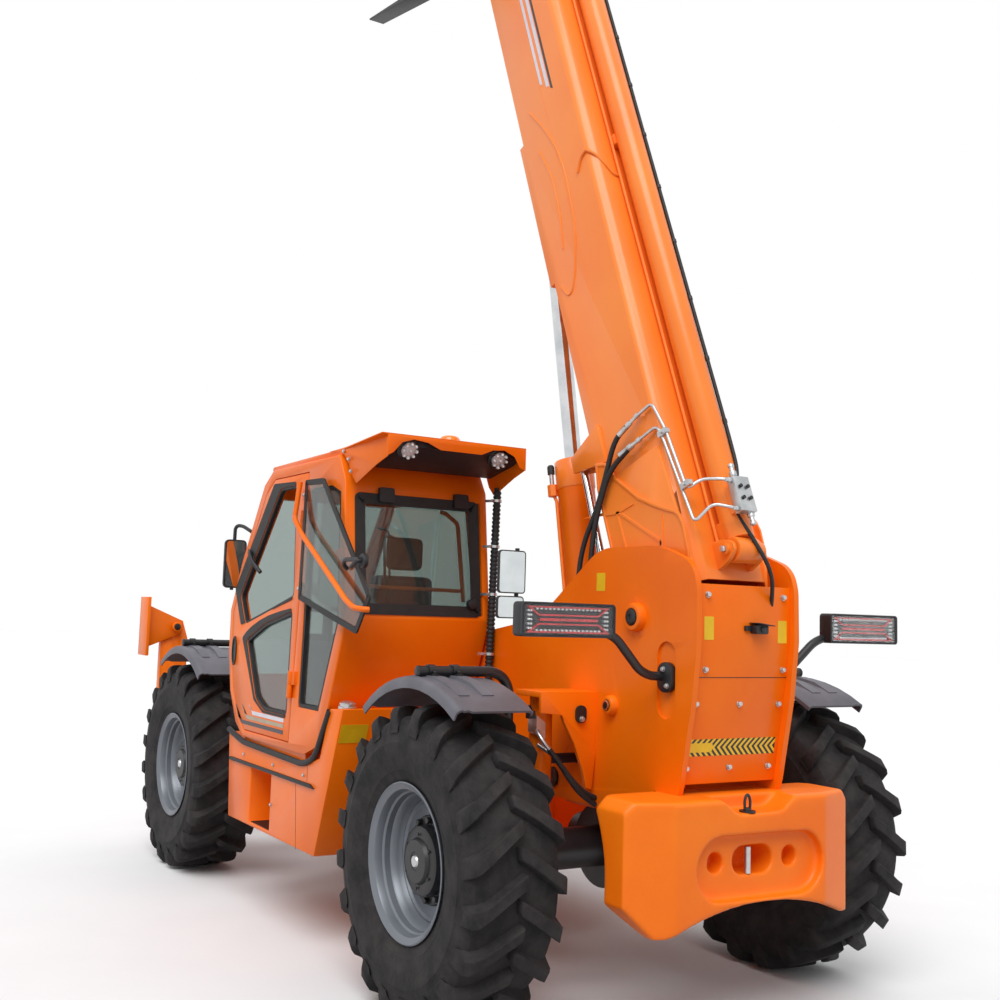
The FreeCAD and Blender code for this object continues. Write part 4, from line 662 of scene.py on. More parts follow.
ring_frame([on_rear_wall(y, z, 1) for y, z in rear_line], 56, Vector((-0.004, 0, 0)), corner=30)
finish_mesh("seal_rear", "chassis", rubber_black)
hinge_blocks = []
for y in (470, 905):
    hinge_blocks.append(traced([on_rear_wall(y - 45, 2248, 4), on_rear_wall(y + 45, 2248, 4),
                                on_rear_wall(y + 40, 2322, 4), on_rear_wall(y - 40, 2322, 4)],
                               Vector((-0.022, 0, 0)), corner=8))
joined(hinge_blocks)
finish_mesh("rear_window_hinges", "chassis", plastic_black)


# Upper window of the door, open and latched back: one toughened pane with a printed black edge, a bent orange
# bar across it and a black handle.
swung = [(-396, 2374), (-632, 2366), (-1225, 1769), (-1085, 1590), (-713, 1671), (-366, 1750)]
traced([spot(x, 1161, z) for x, z in swung], Vector((0, 0.006, 0)), corner=14)
finish_mesh("upper_window_pane", "chassis", window_glass, ["upper_window"])
ring_frame([spot(x, 1167.2, z) for x, z in swung], 30, Vector((0, 0.003, 0)), corner=14)
finish_mesh("upper_window_edge", "chassis", rubber_black)


def tube(places, radius, bend=0.0, sides=5, steps=5):
    """A round bar or hose along a line of places in metres. Its corners are rounded by bend millimetres."""
    bpy.ops.mesh.primitive_plane_add(size=0.001, location=places[0])
    bpy.ops.object.mode_set(mode="EDIT")
    bpy.ops.mesh.merge(type="CENTER")
    for before, after in zip(places, places[1:]):
        bpy.ops.mesh.extrude_vertices_move(TRANSFORM_OT_translate={"value": after - before})
    if bend and len(places) > 2:
        mesh = bmesh.from_edit_mesh(bpy.context.object.data)
        for corner in mesh.verts:
            corner.select = len(corner.link_edges) == 2
        mesh.select_flush_mode()
        bmesh.update_edit_mesh(bpy.context.object.data)
        bpy.ops.mesh.bevel(offset=bend * 0.001, segments=steps, affect="VERTICES", clamp_overlap=True)
    bpy.ops.object.mode_set(mode="OBJECT")
    bpy.ops.object.convert(target="CURVE")
    line = bpy.context.object.data
    line.bevel_depth = radius * 0.001
    line.bevel_resolution = sides
    line.use_fill_caps = True
    bpy.ops.object.convert(target="MESH")
    return bpy.context.object


tube([spot(x, y, z) for x, y, z in ((-362, 1185, 2363), (-380, 1215, 2167), (-482, 1215, 2085), (-783, 1215, 1909),
                                    (-1057, 1215, 1747), (-1142, 1212, 1712), (-1215, 1190, 1706),
                                    (-1215, 1170, 1706))], 14, bend=30)
finish_mesh("window_bar", "chassis", body_orange)
window_iron = [tube([spot(-968, 1172, 1897), spot(-975, 1200, 1920), spot(-1010, 1205, 1941),
                     spot(-1160, 1205, 1937)], 11, bend=18),
               spun([(0, 0.01), (0, 34), (18, 34), (24, 28), (24, 0.01)], spot(-1160, 1170, 1932), (0, 1, 0), steps=24),
               tube([spot(-1160, 1190, 1932), spot(-1160, 1215, 1932), spot(-1105, 1216, 1905)], 10, bend=10)]
joined(window_iron)
finish_mesh("window_handle", "chassis", plastic_black)
for number, (x, z) in enumerate(((-378, 2295), (-362, 1805))):
    traced([spot(x - 30, 1131, z - 32), spot(x + 22, 1131, z - 32), spot(x + 22, 1131, z + 32),
            spot(x - 30, 1131, z + 32)], Vector((0, 0.034, 0)), corner=10)
    finish_mesh("window_hinge_%d" % number, "chassis", body_orange)
    bolt_head(spot(x - 4, 1165, z), (0, 1, 0), 16, 8)
    finish_mesh("window_hinge_bolt_%d" % number, "chassis", zinc)
tube([spot(522, 1118, 2036), spot(440, 1150, 2010), spot(395, 1150, 1965), spot(337, 1118, 1902)], 12, bend=22)
finish_mesh("grab_handle", "cab_door", plastic_black)


# Door details: the black recessed handle near its front edge, the flat hinges, and three printed stripes that
# turn up along its lower front corner.
handle_centre = spot(668, 1130, 1440)
rim_line = []
for number in range(20):
    angle = number * math.tau / 20
    rim_line.append(handle_centre + Vector((0.036 * math.cos(angle), 0, 0.086 * math.sin(angle))))
ring_frame(rim_line, 11, Vector((0, 0.007, 0)))
finish_mesh("door_handle_rim", "cab_door", plastic_black)
traced(rim_line, Vector((0, 0.002, 0)))
finish_mesh("door_handle_cup", "cab_door", plastic_black)
for name, line, finish in (
        ("dark", ((602, 1134), (548, 1062), (486, 1050), (-150, 1050)), stripe_dark),
        ("beige", ((500, 1142), (452, 1096), (404, 1083), (-150, 1083)), stripe_beige),
        ("white", ((386, 1146), (352, 1122), (318, 1113), (-150, 1113)), stripe_white)):
    upper = [spot(x, 1130.2, z) for x, z in line]
    lower = [spot(x - (14 if number < 2 else 0), 1130.2, z - (6 if number < 2 else 21))
             for number, (x, z) in enumerate(line)]
    traced(upper + lower[::-1], Vector((0, 0.0008, 0)))
    finish_mesh("door_stripe_" + name, "cab_door", finish, smooth=0)


# Visor. Folded orange sheet over the rear window, bolted to the cab's sides, lined black inside, with an arch over
# each work lamp.
band = [(1078, 2548), (293, 2548), (293, 2432), (330, 2446), (362, 2498), (423, 2524), (490, 2518), (556, 2490),
        (790, 2490), (862, 2519), (938, 2527), (1000, 2508), (1046, 2456), (1078, 2438)]
panels = [traced([spot(-1163, y, z) for y, z in band], Vector((0.005, 0, 0)))]
for y, lean in ((293, 0), (1107, 34)):
    panels.append(traced([spot(x, y + lean * (x + 700) / 463, z) for x, z in (
        (-565, 2511), (-700, 2516), (-1163, 2548), (-1163, 2436), (-1060, 2403), (-870, 2325), (-817, 2373),
        (-786, 2431), (-720, 2490), (-675, 2500))], Vector((0, 0.005, 0))))
panels.append(traced([spot(x, 293, z) for x, z in ((232, 2481), (225, 2502), (-700, 2513), (-1163, 2548), (-1163, 2542),
                                                    (-720, 2507), (-720, 2481))], Vector((0, 0.819, 0))))
visor = joined(panels)
modified(visor, "BEVEL", width=0.004, segments=2, limit_method="ANGLE", angle_limit=math.radians(50))
finish_mesh("visor", "chassis", body_orange, ["cab_roof"])
traced([spot(x, 300, z) for x, z in ((-1120, 2536), (-1120, 2500), (-1060, 2468), (-835, 2420), (-835, 2500))],
       Vector((0, 0.762, 0)))
finish_mesh("visor_lining", "chassis", plastic_black)
heads = [bolt_head(spot(x, 1112, z), (0, 1, 0), 15, 7) for x, z in ((-740, 2497), (-802, 2451), (-836, 2388))]
joined(heads)
finish_mesh("visor_bolts", "chassis", zinc)


# Work lamps: black cups with a clear round lens over nine small reflectors. Beacon: an amber dome on a low base.
lamp_axis = Vector((-0.85, 0, -0.53)).normalized()
for number, y in enumerate((423, 938)):
    centre = spot(-1118, y, 2478)
    spun([(-34, 0.01), (-34, 34), (-22, 52), (-8, 62), (14, 68), (22, 68), (22, 60), (12, 58), (8, 0.01)],
         centre, lamp_axis, steps=40, closed=False)
    finish_mesh("work_lamp_cup_%d" % number, "chassis", plastic_black,
                ["roof_lamps"] if number == 0 else [])
    dots = []
    for index in range(9):
        angle = index * math.tau / 8
        reach = 0 if index == 8 else 0.036
        side = Vector((0, math.cos(angle), 0)) + lamp_axis.cross(Vector((0, 1, 0))) * math.sin(angle)
        dots.append(spun([(9, 0.01), (9, 11), (16, 9), (19, 5), (20, 0.01)], centre + side * reach, lamp_axis,
                         steps=14, closed=False))
    dots.append(spun([(8.5, 0.01), (8.5, 57), (11, 57), (11, 0.01)], centre, lamp_axis, steps=32, closed=False))
    joined(dots)
    finish_mesh("work_lamp_reflectors_%d" % number, "chassis", lamp_white)
    spun([(17, 58), (22, 57), (27, 40), (29, 20), (30, 0.01), (27, 0.01), (26, 20), (24, 38), (19, 53), (17, 54)],
         centre, lamp_axis, steps=40, closed=False)
    finish_mesh("work_lamp_lens_%d" % number, "chassis", lens_clear)
spun([(0, 0.01), (0, 60), (10, 62), (16, 56), (16, 0.01)], spot(-912, 600, 2545), (0, 0, 1), steps=40, closed=False)
finish_mesh("beacon_base", "chassis", plastic_black)
spun([(14, 0.01), (14, 56), (22, 56), (44, 53), (56, 46), (63, 30), (65, 0.01)], spot(-912, 600, 2545), (0, 0, 1),
     steps=40, closed=False)
finish_mesh("beacon_dome", "chassis", amber)


# Tail lamps. A black moulded housing with a clear cover over two long red bars, a red line and rows of small
# reflectors at both ends.
for word, side in (("left", 1), ("right", -1)):
    y_in, y_out, z_low, z_high = 615 * side, 1065 * side, 1622, 1757
    rectangle = [(y_in, z_low), (y_out, z_low), (y_out, z_high), (y_in, z_high)]
    traced([spot(-2326, y, z) for y, z in rectangle], Vector((0.056, 0, 0)), corner=16)
    modified(bpy.context.object, "BEVEL", width=0.005, segments=2, limit_method="ANGLE",
             angle_limit=math.radians(50))
    finish_mesh("tail_lamp_housing_" + word, "chassis", plastic_black,
                ["tail_lamps"] if side > 0 else [])
    ring_frame([spot(-2326, y, z) for y, z in rectangle], 9, Vector((-0.013, 0, 0)), corner=16)
    finish_mesh("tail_lamp_rim_" + word, "chassis", plastic_black)
    bars = []
    for flip in (1, -1):
        middle_z = 1689.5
        outer_z, inner_z = middle_z + flip * 52, middle_z + flip * 14
        corners_of_bar = [(side * 640, outer_z), (side * 1040, outer_z), (side * 985, inner_z), (side * 695, inner_z)]
        bars.append(ring_frame([spot(-2327, y, z) for y, z in corners_of_bar], 7, Vector((-0.006, 0, 0))))
    bars.append(traced([spot(-2327, y, z) for y, z in ((side * 700, 1684), (side * 980, 1684), (side * 980, 1695),
                                                        (side * 700, 1695))], Vector((-0.006, 0, 0))))
    joined(bars)
    finish_mesh("tail_lamp_bars_" + word, "chassis", lamp_red)
    cells = []
    for end in (650, 1030):
        for row in range(5):
            for column in range(2):
                y = end + (12 if end < 800 else -12) * column
                cells.append(spun([(0, 0.01), (0, 5), (5, 4), (6, 0.01)], spot(-2327, side * y, 1655 + row * 17),
                                  (-1, 0, 0), steps=8, closed=False))
    for column in range(16):
        for z in (1732, 1647):
            cells.append(spun([(0, 0.01), (0, 6), (4, 5), (5, 0.01)], spot(-2327, side * (690 + column * 20), z),
                              (-1, 0, 0), steps=8, closed=False))
    joined(cells)
    finish_mesh("tail_lamp_cells_" + word, "chassis", lamp_white)
    traced([spot(-2334, y, z) for y, z in ((y_in + side * 6, z_low + 6), (y_out - side * 6, z_low + 6),
                                            (y_out - side * 6, z_high - 6), (y_in + side * 6, z_high - 6))],
           Vector((-0.005, 0, 0)), corner=12)
    finish_mesh("tail_lamp_cover_" + word, "chassis", lens_clear)


# Fenders. Moulded plastic guards with a double rolled outer edge and two ribs behind the clamps, each clamped to
# a bent black tube.
# Section of the guard, in columns: place across, height over the wheel's middle.
guard_line = [(800, 742), (800, 760), (816, 768), (1096, 768), (1116, 775), (1134, 771), (1144, 776), (1160, 772),
              (1170, 758), (1170, 724), (1163, 724), (1162, 752), (1154, 762), (1144, 766), (1134, 762), (1114, 765),
              (1096, 758), (820, 758), (808, 752), (807, 742)]
for corner in corners:
    side = 1 if "left" in corner else -1
    centre = hub_places[corner]
    front_angle, back_angle = (31, 37) if "front" in corner else (37, 31)
    sections = []
    steps = 11
    for step in range(steps + 1):
        angle = math.radians(-back_angle + (front_angle + back_angle) * step / steps)
        sections.append([centre + Vector((high * 0.001 * math.sin(angle), side * across * 0.001 - centre.y,
                                          high * 0.001 * math.cos(angle))) for across, high in guard_line])
    drawn_through(sections)
    finish_mesh("fender_" + corner, "chassis", fender_grey,
                ["fenders"] if corner == "front_left" else [], smooth=50)
    ribs = []
    for across in (958, 1077):
        rib_line = [(-34, 764), (-28, 782), (28, 782), (34, 764)]
        rib_sections = []
        for degrees in (-16, -12, -4, 6, 14, 22):
            angle = math.radians(-degrees)
            drop = 11 if degrees in (-16, 22) else 0
            rib_sections.append([centre + Vector(((high - drop) * 0.001 * math.sin(angle),
                                                  side * (across + out) * 0.001 - centre.y,
                                                  (high - drop) * 0.001 * math.cos(angle)))
                                 for out, high in rib_line])
        ribs.append(drawn_through(rib_sections))
    joined(ribs)
    finish_mesh("fender_ribs_" + corner, "chassis", fender_grey, smooth=50)
    clamps = []
    crest = centre.z * 1000 + 758 + 14 + 23.3
    for across in (958, 1077):
        clamps.append(spun([(-17, 24), (-17, 30), (17, 30), (17, 24)],
                           Vector((centre.x, side * across * 0.001, crest * 0.001)), (0, 1, 0), steps=24))
        for reach in (-42, 42):
            clamps.append(bolt_head(Vector((centre.x + reach * 0.001, side * across * 0.001, (crest - 8) * 0.001)),
                                    (0, 0, 1), 15, 8))
        clamps.append(traced([Vector((centre.x, side * across * 0.001, crest * 0.001)) + Vector(place) * 0.001
                              for place in ((-56, -17, -20), (56, -17, -20), (56, 17, -20), (-56, 17, -20))],
                             Vector((0, 0, 0.010)), corner=8))
    clamps.append(spun([(-6, 0.01), (-6, 25), (4, 25), (9, 18), (9, 0.01)],
                       Vector((centre.x, side * 1.136, crest * 0.001)), (0, side, 0), steps=24, closed=False))
    joined(clamps)
    finish_mesh("fender_clamps_" + corner, "chassis", black_enamel)
bent_bars = []
for corner in corners:
    side = 1 if "left" in corner else -1
    x, crest = hub_places[corner].x * 1000, hub_places[corner].z * 1000 + 758 + 14 + 23.3
    bent_bars.append(tube([spot(x, side * y, z) for y, z in ((1130, crest), (741, crest), (674, crest - 54),
                                                             (671, 1130), (610, 1060), (291, 1060))],
                          23.3, bend=46, sides=8))
for side in (1, -1):
    bent_bars.append(tube([spot(-2257, side * 300, 1468), spot(-2257, side * 400, 1468), spot(-2285, side * 590, 1645),
                           spot(-2285, side * 680, 1645)], 19, bend=60, sides=8))
joined(bent_bars)
finish_mesh("bracket_tubes_bent", "chassis", black_enamel, ["bracket_tubes"])


# Rear cover: its lower and upper panels are bolted between the plates. Blank yellow labels, a small black camera
# and a black and yellow striped film sit on it.
def on_cover(y, z, out=0):
    """A place on the rear cover, some millimetres behind it."""
    line = ((1028, -2340), (1382, -2396), (1625, -2430), (1858, -2428))
    for (z0, x0), (z1, x1) in zip(line, line[1:]):
        if z <= z1 or z1 == 1858:
            return spot(x0 + (x1 - x0) * (z - z0) / (z1 - z0) - out, y, z)


bolts = [bolt_head(on_cover(y, z), (-1, 0, 0.12), 20, 11) for y, z in ((209, 1813), (-222, 1814), (248, 1095),
                                                                       (11, 1094), (-214, 1092), (205, 1504),
                                                                       (-236, 1504), (236, 1362), (-5, 1360),
                                                                       (-232, 1358))]
joined(bolts)
finish_mesh("cover_bolts", "chassis", zinc)
labels = [traced([on_cover(y + a, z + b, 0.5) for a, b in ((-26, -48), (26, -48), (26, 48), (-26, 48))],
                 Vector((-0.001, 0, 0)), corner=4) for y, z in ((201, 1675), (-217, 1667))]
labels.append(traced([spot(x, 290.4, z) for x, z in ((-1839, 1825), (-1776, 1825), (-1776, 1907), (-1839, 1907))],
                     Vector((0, 0.001, 0)), corner=4))
joined(labels)
finish_mesh("yellow_labels", "chassis", label_yellow, smooth=0)
traced([on_cover(y, z, 0.4) for y, z in ((-263, 1473), (263, 1473), (263, 1470.5), (-263, 1470.5))], Vector((-0.001, 0, 0)))
finish_mesh("cover_split", "chassis", rubber_black, smooth=0)
traced([on_cover(y, z, 0.5) for y, z in ((-241, 1145), (258, 1145), (258, 1215), (-241, 1215))],
       Vector((-0.001, 0, 0)), corner=3)
hazard, surface = new_finish("black_and_yellow_film")
place = add_node(hazard, "TexCoord")
axes = add_node(hazard, "SeparateXYZ", {"Vector": (place, "Object")})
offset = add_node(hazard, "Math", {0: (axes, "Z"), 1: 1.180}, operation="SUBTRACT")
spread = add_node(hazard, "Math", {0: (offset, 0)}, operation="ABSOLUTE")
slant = add_node(hazard, "Math", {0: (axes, "Y"), 1: (spread, 0)}, operation="ADD")
turns = add_node(hazard, "Math", {0: (slant, 0), 1: 1 / 0.030}, operation="MULTIPLY")
share = add_node(hazard, "Math", {0: (turns, 0)}, operation="FRACT")
choice = add_node(hazard, "Math", {0: (share, 0), 1: 0.5}, operation="GREATER_THAN")
paint = add_node(hazard, "Mix", {"Factor": (choice, 0)}, data_type="RGBA")
paint.inputs[6].default_value = paint_value("#1A1A1A")
paint.inputs[7].default_value = paint_value("#F0C21C")
hazard.node_tree.links.new(paint.outputs[2], surface.inputs["Base Color"])
surface.inputs["Roughness"].default_value = 0.4
finish_mesh("hazard_film", "chassis", hazard, smooth=0)
traced([on_cover(y, z, 1.6) for y, z in ((116, 1161), (248, 1161), (248, 1199), (116, 1199))], Vector((-0.0006, 0, 0)),
       corner=10)
finish_mesh("hazard_panel", "chassis", label_yellow, smooth=0)
camera_parts = [traced([on_cover(y, z, 1) for y, z in ((-98, 1656), (-28, 1656), (-28, 1696), (-98, 1696))],
                       Vector((-0.040, 0, 0)), corner=10),
                traced([on_cover(y, z, 1) for y, z in ((-116, 1690), (-24, 1700), (-24, 1704), (-116, 1694))],
                       Vector((-0.062, 0, 0))),
                traced([on_cover(y, z, 1) for y, z in ((-28, 1668), (6, 1668), (6, 1690), (-28, 1690))],
                       Vector((-0.012, 0, 0)), corner=4),
                spun([(0, 0.01), (0, 13), (8, 12), (10, 0.01)], on_cover(-63, 1675, 40), (-1, 0, 0), steps=20,
                     closed=False)]
joined(camera_parts)
modified(bpy.context.object, "BEVEL", width=0.004, segments=2, limit_method="ANGLE", angle_limit=math.radians(50))
finish_mesh("rear_camera", "chassis", plastic_black)


# Tow pins in the counterweight: a black pin with a ring handle in the notch, and a bright pin across the slot.
ring_pin = [spun([(0, 0.01), (0, 34), (7, 34), (9, 16), (18, 14), (18, 0.01)], spot(-2462, 8, 925),
                 (0, 0, 1), steps=24, closed=False),
            tube([spot(-2462, -6, 936), spot(-2462, -8, 976), spot(-2462, 8, 1002), spot(-2462, 24, 976),
                  spot(-2462, 22, 936)], 6, bend=14)]
joined(ring_pin)
finish_mesh("tow_pin_handle", "chassis", black_enamel)
spun([(0, 0.01), (0, 13), (108, 13), (108, 0.01)], spot(-2440, -16, 673), (0, 0, 1), steps=24, closed=False)
finish_mesh("tow_pin", "chassis", zinc)


# Tower details: raised orange rings round the black pins, the recess pressed in behind the lamp arms, the arms'
# black flanges, and the axle locks with their keepers.
def at_tower_corner(places):
    """The edges across the plates' thickness at some of the tower's corners."""
    def chosen(one, other):
        return (math.hypot(one.x - other.x, one.z - other.z) < 2 and abs(abs(one.y) - abs(other.y)) > 10
                and min(abs(one.y), abs(other.y)) > 262
                and any(math.hypot(one.x - x, one.z - z) < 6 for x, z in places))
    return chosen


plates = round_edges(node_copy("side_plates"), at_tower_corner(((-2453, 1869), (-2409, 1952))), 46, steps=5)
round_edges(plates, at_tower_corner(((-2217, 2021), (-1791, 2020))), 80, steps=5)
for side in (1, -1):
    for (x, z), radius in (((-2071, 1711), 100), ((-1907, 1319), 64)):
        facing_off = spun([(0.2, 0.01), (0.2, radius), (60, radius), (60, 0.01)], spot(x, 290 * side, z), (0, side, 0),
                          steps=40, closed=False)
        modified(plates, "BOOLEAN", operation="DIFFERENCE", object=facing_off, solver="EXACT")
        bpy.data.objects.remove(facing_off)
    ring = [(-2270 + 58.5 * math.cos(a * math.tau / 24), 1452 + (103 if a <= 12 else -103) + 58.5 * math.sin(a * math.tau / 24))
            for a in range(24)]
    pressing = traced([spot(x, 279 * side, z) for x, z in ring], Vector((0, side * 0.030, 0)))
    modified(plates, "BOOLEAN", operation="DIFFERENCE", object=pressing, solver="EXACT")
    bpy.data.objects.remove(pressing)
bpy.ops.object.select_all(action="DESELECT")
plates.select_set(True)
bpy.context.view_layer.objects.active = plates
softened("side_plates", body_orange, 6, steps=3, piece=plates)
for side in (1, -1):
    word = "left" if side > 0 else "right"
    face = 290 * side
    for name, (x, z), inside, outside, depth in (("pivot", (-2071, 1711), 36, 58, 35), ("level", (-1907, 1319), 22, 39, 33)):
        spun([(0, inside), (0, outside + 6), (depth * 0.55, outside + 4), (depth - 2, outside - 2), (depth, outside - 8),
              (depth, inside + 4), (depth - 5, inside)], spot(x, face, z), (0, side, 0), steps=48)
        finish_mesh("%s_ring_%s" % (name, word), "chassis", body_orange)
        spun([(4, 0.01), (4, inside - 1), (depth + 2, inside - 1), (depth + 6, inside - 6), (depth + 6, inside * 0.35),
              (depth + 1, inside * 0.3), (depth + 1, 0.01)], spot(x, face, z), (0, side, 0), steps=40, closed=False)
        finish_mesh("%s_pin_end_%s" % (name, word), "chassis", black_enamel)
    spun([(33, 22.5), (38, 22.5), (39, 19), (39, 16), (35, 15), (33, 15)], spot(-1907, face, 1319), (0, side, 0), steps=40)
    finish_mesh("level_pin_circlip_" + word, "chassis", chrome)
    traced([spot(x, 280 * side, z) for x, z in ((-2325, 1401), (-2233, 1401), (-2233, 1527), (-2325, 1527))],
           Vector((0, side * 0.030, 0)), corner=44)
    modified(bpy.context.object, "BEVEL", width=0.003, segments=2, limit_method="ANGLE",
             angle_limit=math.radians(50))
    finish_mesh("lamp_arm_flange_" + word, "chassis", black_enamel)
    joined([bolt_head(spot(x, face + side * 20, z), (0, side, 0), 17, 9) for x, z in ((-2300, 1430), (-2276, 1498))])
    finish_mesh("lamp_arm_bolts_" + word, "chassis", zinc)
    traced([spot(-1795.5, y * side, z) for y, z in ((354, 1232), (354, 1310), (410, 1310), (410, 1232))],
           Vector((-0.012, 0, 0)), corner=26)
    finish_mesh("lock_keeper_" + word, "chassis", black_enamel)
    bolt_head(spot(-1807.5, 381 * side, 1250), (-1, 0, 0), 20, 10)
    finish_mesh("lock_keeper_bolt_" + word, "chassis", zinc)
softened("axle_locks", body_orange, 6)

# Counterweight. One heavy iron casting, sprayed orange over its rough skin, with every edge cast round. A box is
# cut down to its plan and its bevels, its edges are rounded, and the recess, slot, holes and notch are cut last.
weight_low, weight_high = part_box("counterweight")
x_back, half, z_low, z_high = weight_low.x * 1000 + 2, weight_high.y * 1000, weight_low.z * 1000, weight_high.z * 1000
plan = [(-2208, half), (x_back + 73, half), (x_back, 410), (x_back, -410), (x_back + 73, -half), (-2208, -half),
        (-2200, -290), (-2200, 290)]
casting = traced([spot(x, y, z_low) for x, y in plan], Vector((0, 0, (z_high - z_low) * 0.001)))
bpy.ops.object.mode_set(mode="EDIT")
for side in (1, -1):
    for place, facing in (((0, half, z_high - 40), (0, 1, 1)), ((x_back, 0, z_high - 14), (-1, 0, 3)),
                          ((0, half, z_low + (120 if side > 0 else -90)), (0, 120, -220)),
                          ((-2290, half, z_high), (150, 30, 190))):
        bpy.ops.mesh.select_all(action="SELECT")
        bpy.ops.mesh.bisect(plane_co=spot(place[0], place[1] * side, place[2]),
                            plane_no=Vector((facing[0], facing[1] * side, facing[2])), use_fill=True,
                            clear_outer=True)
bpy.ops.mesh.select_all(action="SELECT")
bpy.ops.mesh.bisect(plane_co=spot(-2400, 0, z_low), plane_no=Vector((228, 0, -210)), use_fill=True, clear_outer=True)
bpy.ops.mesh.select_all(action="SELECT")
bpy.ops.mesh.remove_doubles(threshold=0.0005)
bpy.ops.mesh.dissolve_limited(angle_limit=math.radians(1.0))
bpy.ops.object.mode_set(mode="OBJECT")


def bar_along_x(y_centres, z, radius, x_end):
    """A cutter: round bars along X, or the hull of two of them as a slot with round ends."""
    ring = []
    for number in range(32):
        angle = number * math.tau / 32
        y = radius * math.cos(angle)
        ring.append(spot(x_back - 30, y + (y_centres[1] if y > 0 else y_centres[0]), z + radius * math.sin(angle)))
    return traced(ring, Vector(((x_end - x_back + 30) * 0.001, 0, 0)))


cutters = [bar_along_x((-270, 172), 710, 130, x_back + 46), bar_along_x((-90, 17), 728.5, 57.5, x_back + 190),
           bar_along_x((170, 170), 729, 41, x_back + 130), bar_along_x((-246, -246), 729, 41, x_back + 130)]
arch_radius = 1300
wheel_gap = 31
for side in (1, -1):
    for degrees in (10, 20, 30):
        turn = math.radians(degrees)
        cutters.append(spun([(-5, 0.01), (-5, tyre_radius + wheel_gap), (500, tyre_radius + wheel_gap), (500, 0.01)],
                            spot(-1650 + 121 * math.sin(turn), side * (860 - 121 * math.cos(turn)), 655),
                            (-math.sin(turn), side * math.cos(turn), 0), steps=96, closed=False))
cutters.append(spun([(0, 0.01), (0, arch_radius), (640, arch_radius), (640, 0.01)],
                    spot(x_back - 30, -70, z_low + 104 - arch_radius), (1, 0, 0), steps=160, closed=False))
cutters.append(traced([spot(x_back - 30, y, z) for y, z in ((-248, z_high + 5), (-158, z_high - 63),
                                                            (84, z_high - 63), (182, z_high + 5))],
                      Vector((0.150, 0, 0)), corner=20))
for cutter in cutters:
    modified(casting, "BOOLEAN", operation="DIFFERENCE", object=cutter, solver="EXACT")
for cutter in cutters:
    bpy.data.objects.remove(cutter)
bpy.ops.object.select_all(action="DESELECT")
casting.select_set(True)
bpy.context.view_layer.objects.active = casting
bpy.ops.object.mode_set(mode="EDIT")
bpy.ops.mesh.select_all(action="SELECT")
bpy.ops.mesh.remove_doubles(threshold=0.0004)
bpy.ops.object.mode_set(mode="OBJECT")
modified(casting, "REMESH", mode="VOXEL", voxel_size=0.008)
modified(casting, "SMOOTH", factor=0.6, iterations=11)
bpy.context.view_layer.objects.active = casting
finish_mesh("counterweight_casting", "chassis", cast_orange, ["counterweight"], smooth=80)


# Boom base. Two bent plates welded to a long box, with a plate welded on each side of its tail, a raised rim round
# it, weld lines, and the films of three stripes near its head.
boom_pivot = spot(-2071, 0, 1711)
boom_axis = Vector((math.cos(math.radians(68.5)), 0, math.sin(math.radians(68.5))))
boom_rise = Vector((-math.sin(math.radians(68.5)), 0, math.cos(math.radians(68.5))))


def on_boom(along, up, across=0.0):
    """A place in the boom's own directions, in millimetres from its pivot."""
    return boom_pivot + (boom_axis * along + boom_rise * up + Vector((0, across, 0))) * 0.001


def on_top_bend(one, other):
    """The two bend lines along each upper edge of the boom's base, and nothing shorter than a metre."""
    ends = [point * 0.001 - boom_pivot for point in (one, other)]
    heights = [end.dot(boom_rise) * 1000 for end in ends]
    reach = abs((ends[1] - ends[0]).dot(boom_axis))
    return reach > 1.0 and all(308 < height < 352 for height in heights) and min(abs(one.y), abs(other.y)) > 160


base = round_edges(node_copy("boom_base"), on_top_bend, 22, steps=4)
softened("boom_base", sheen_paled_boom_orange, 4, steps=2, piece=base)

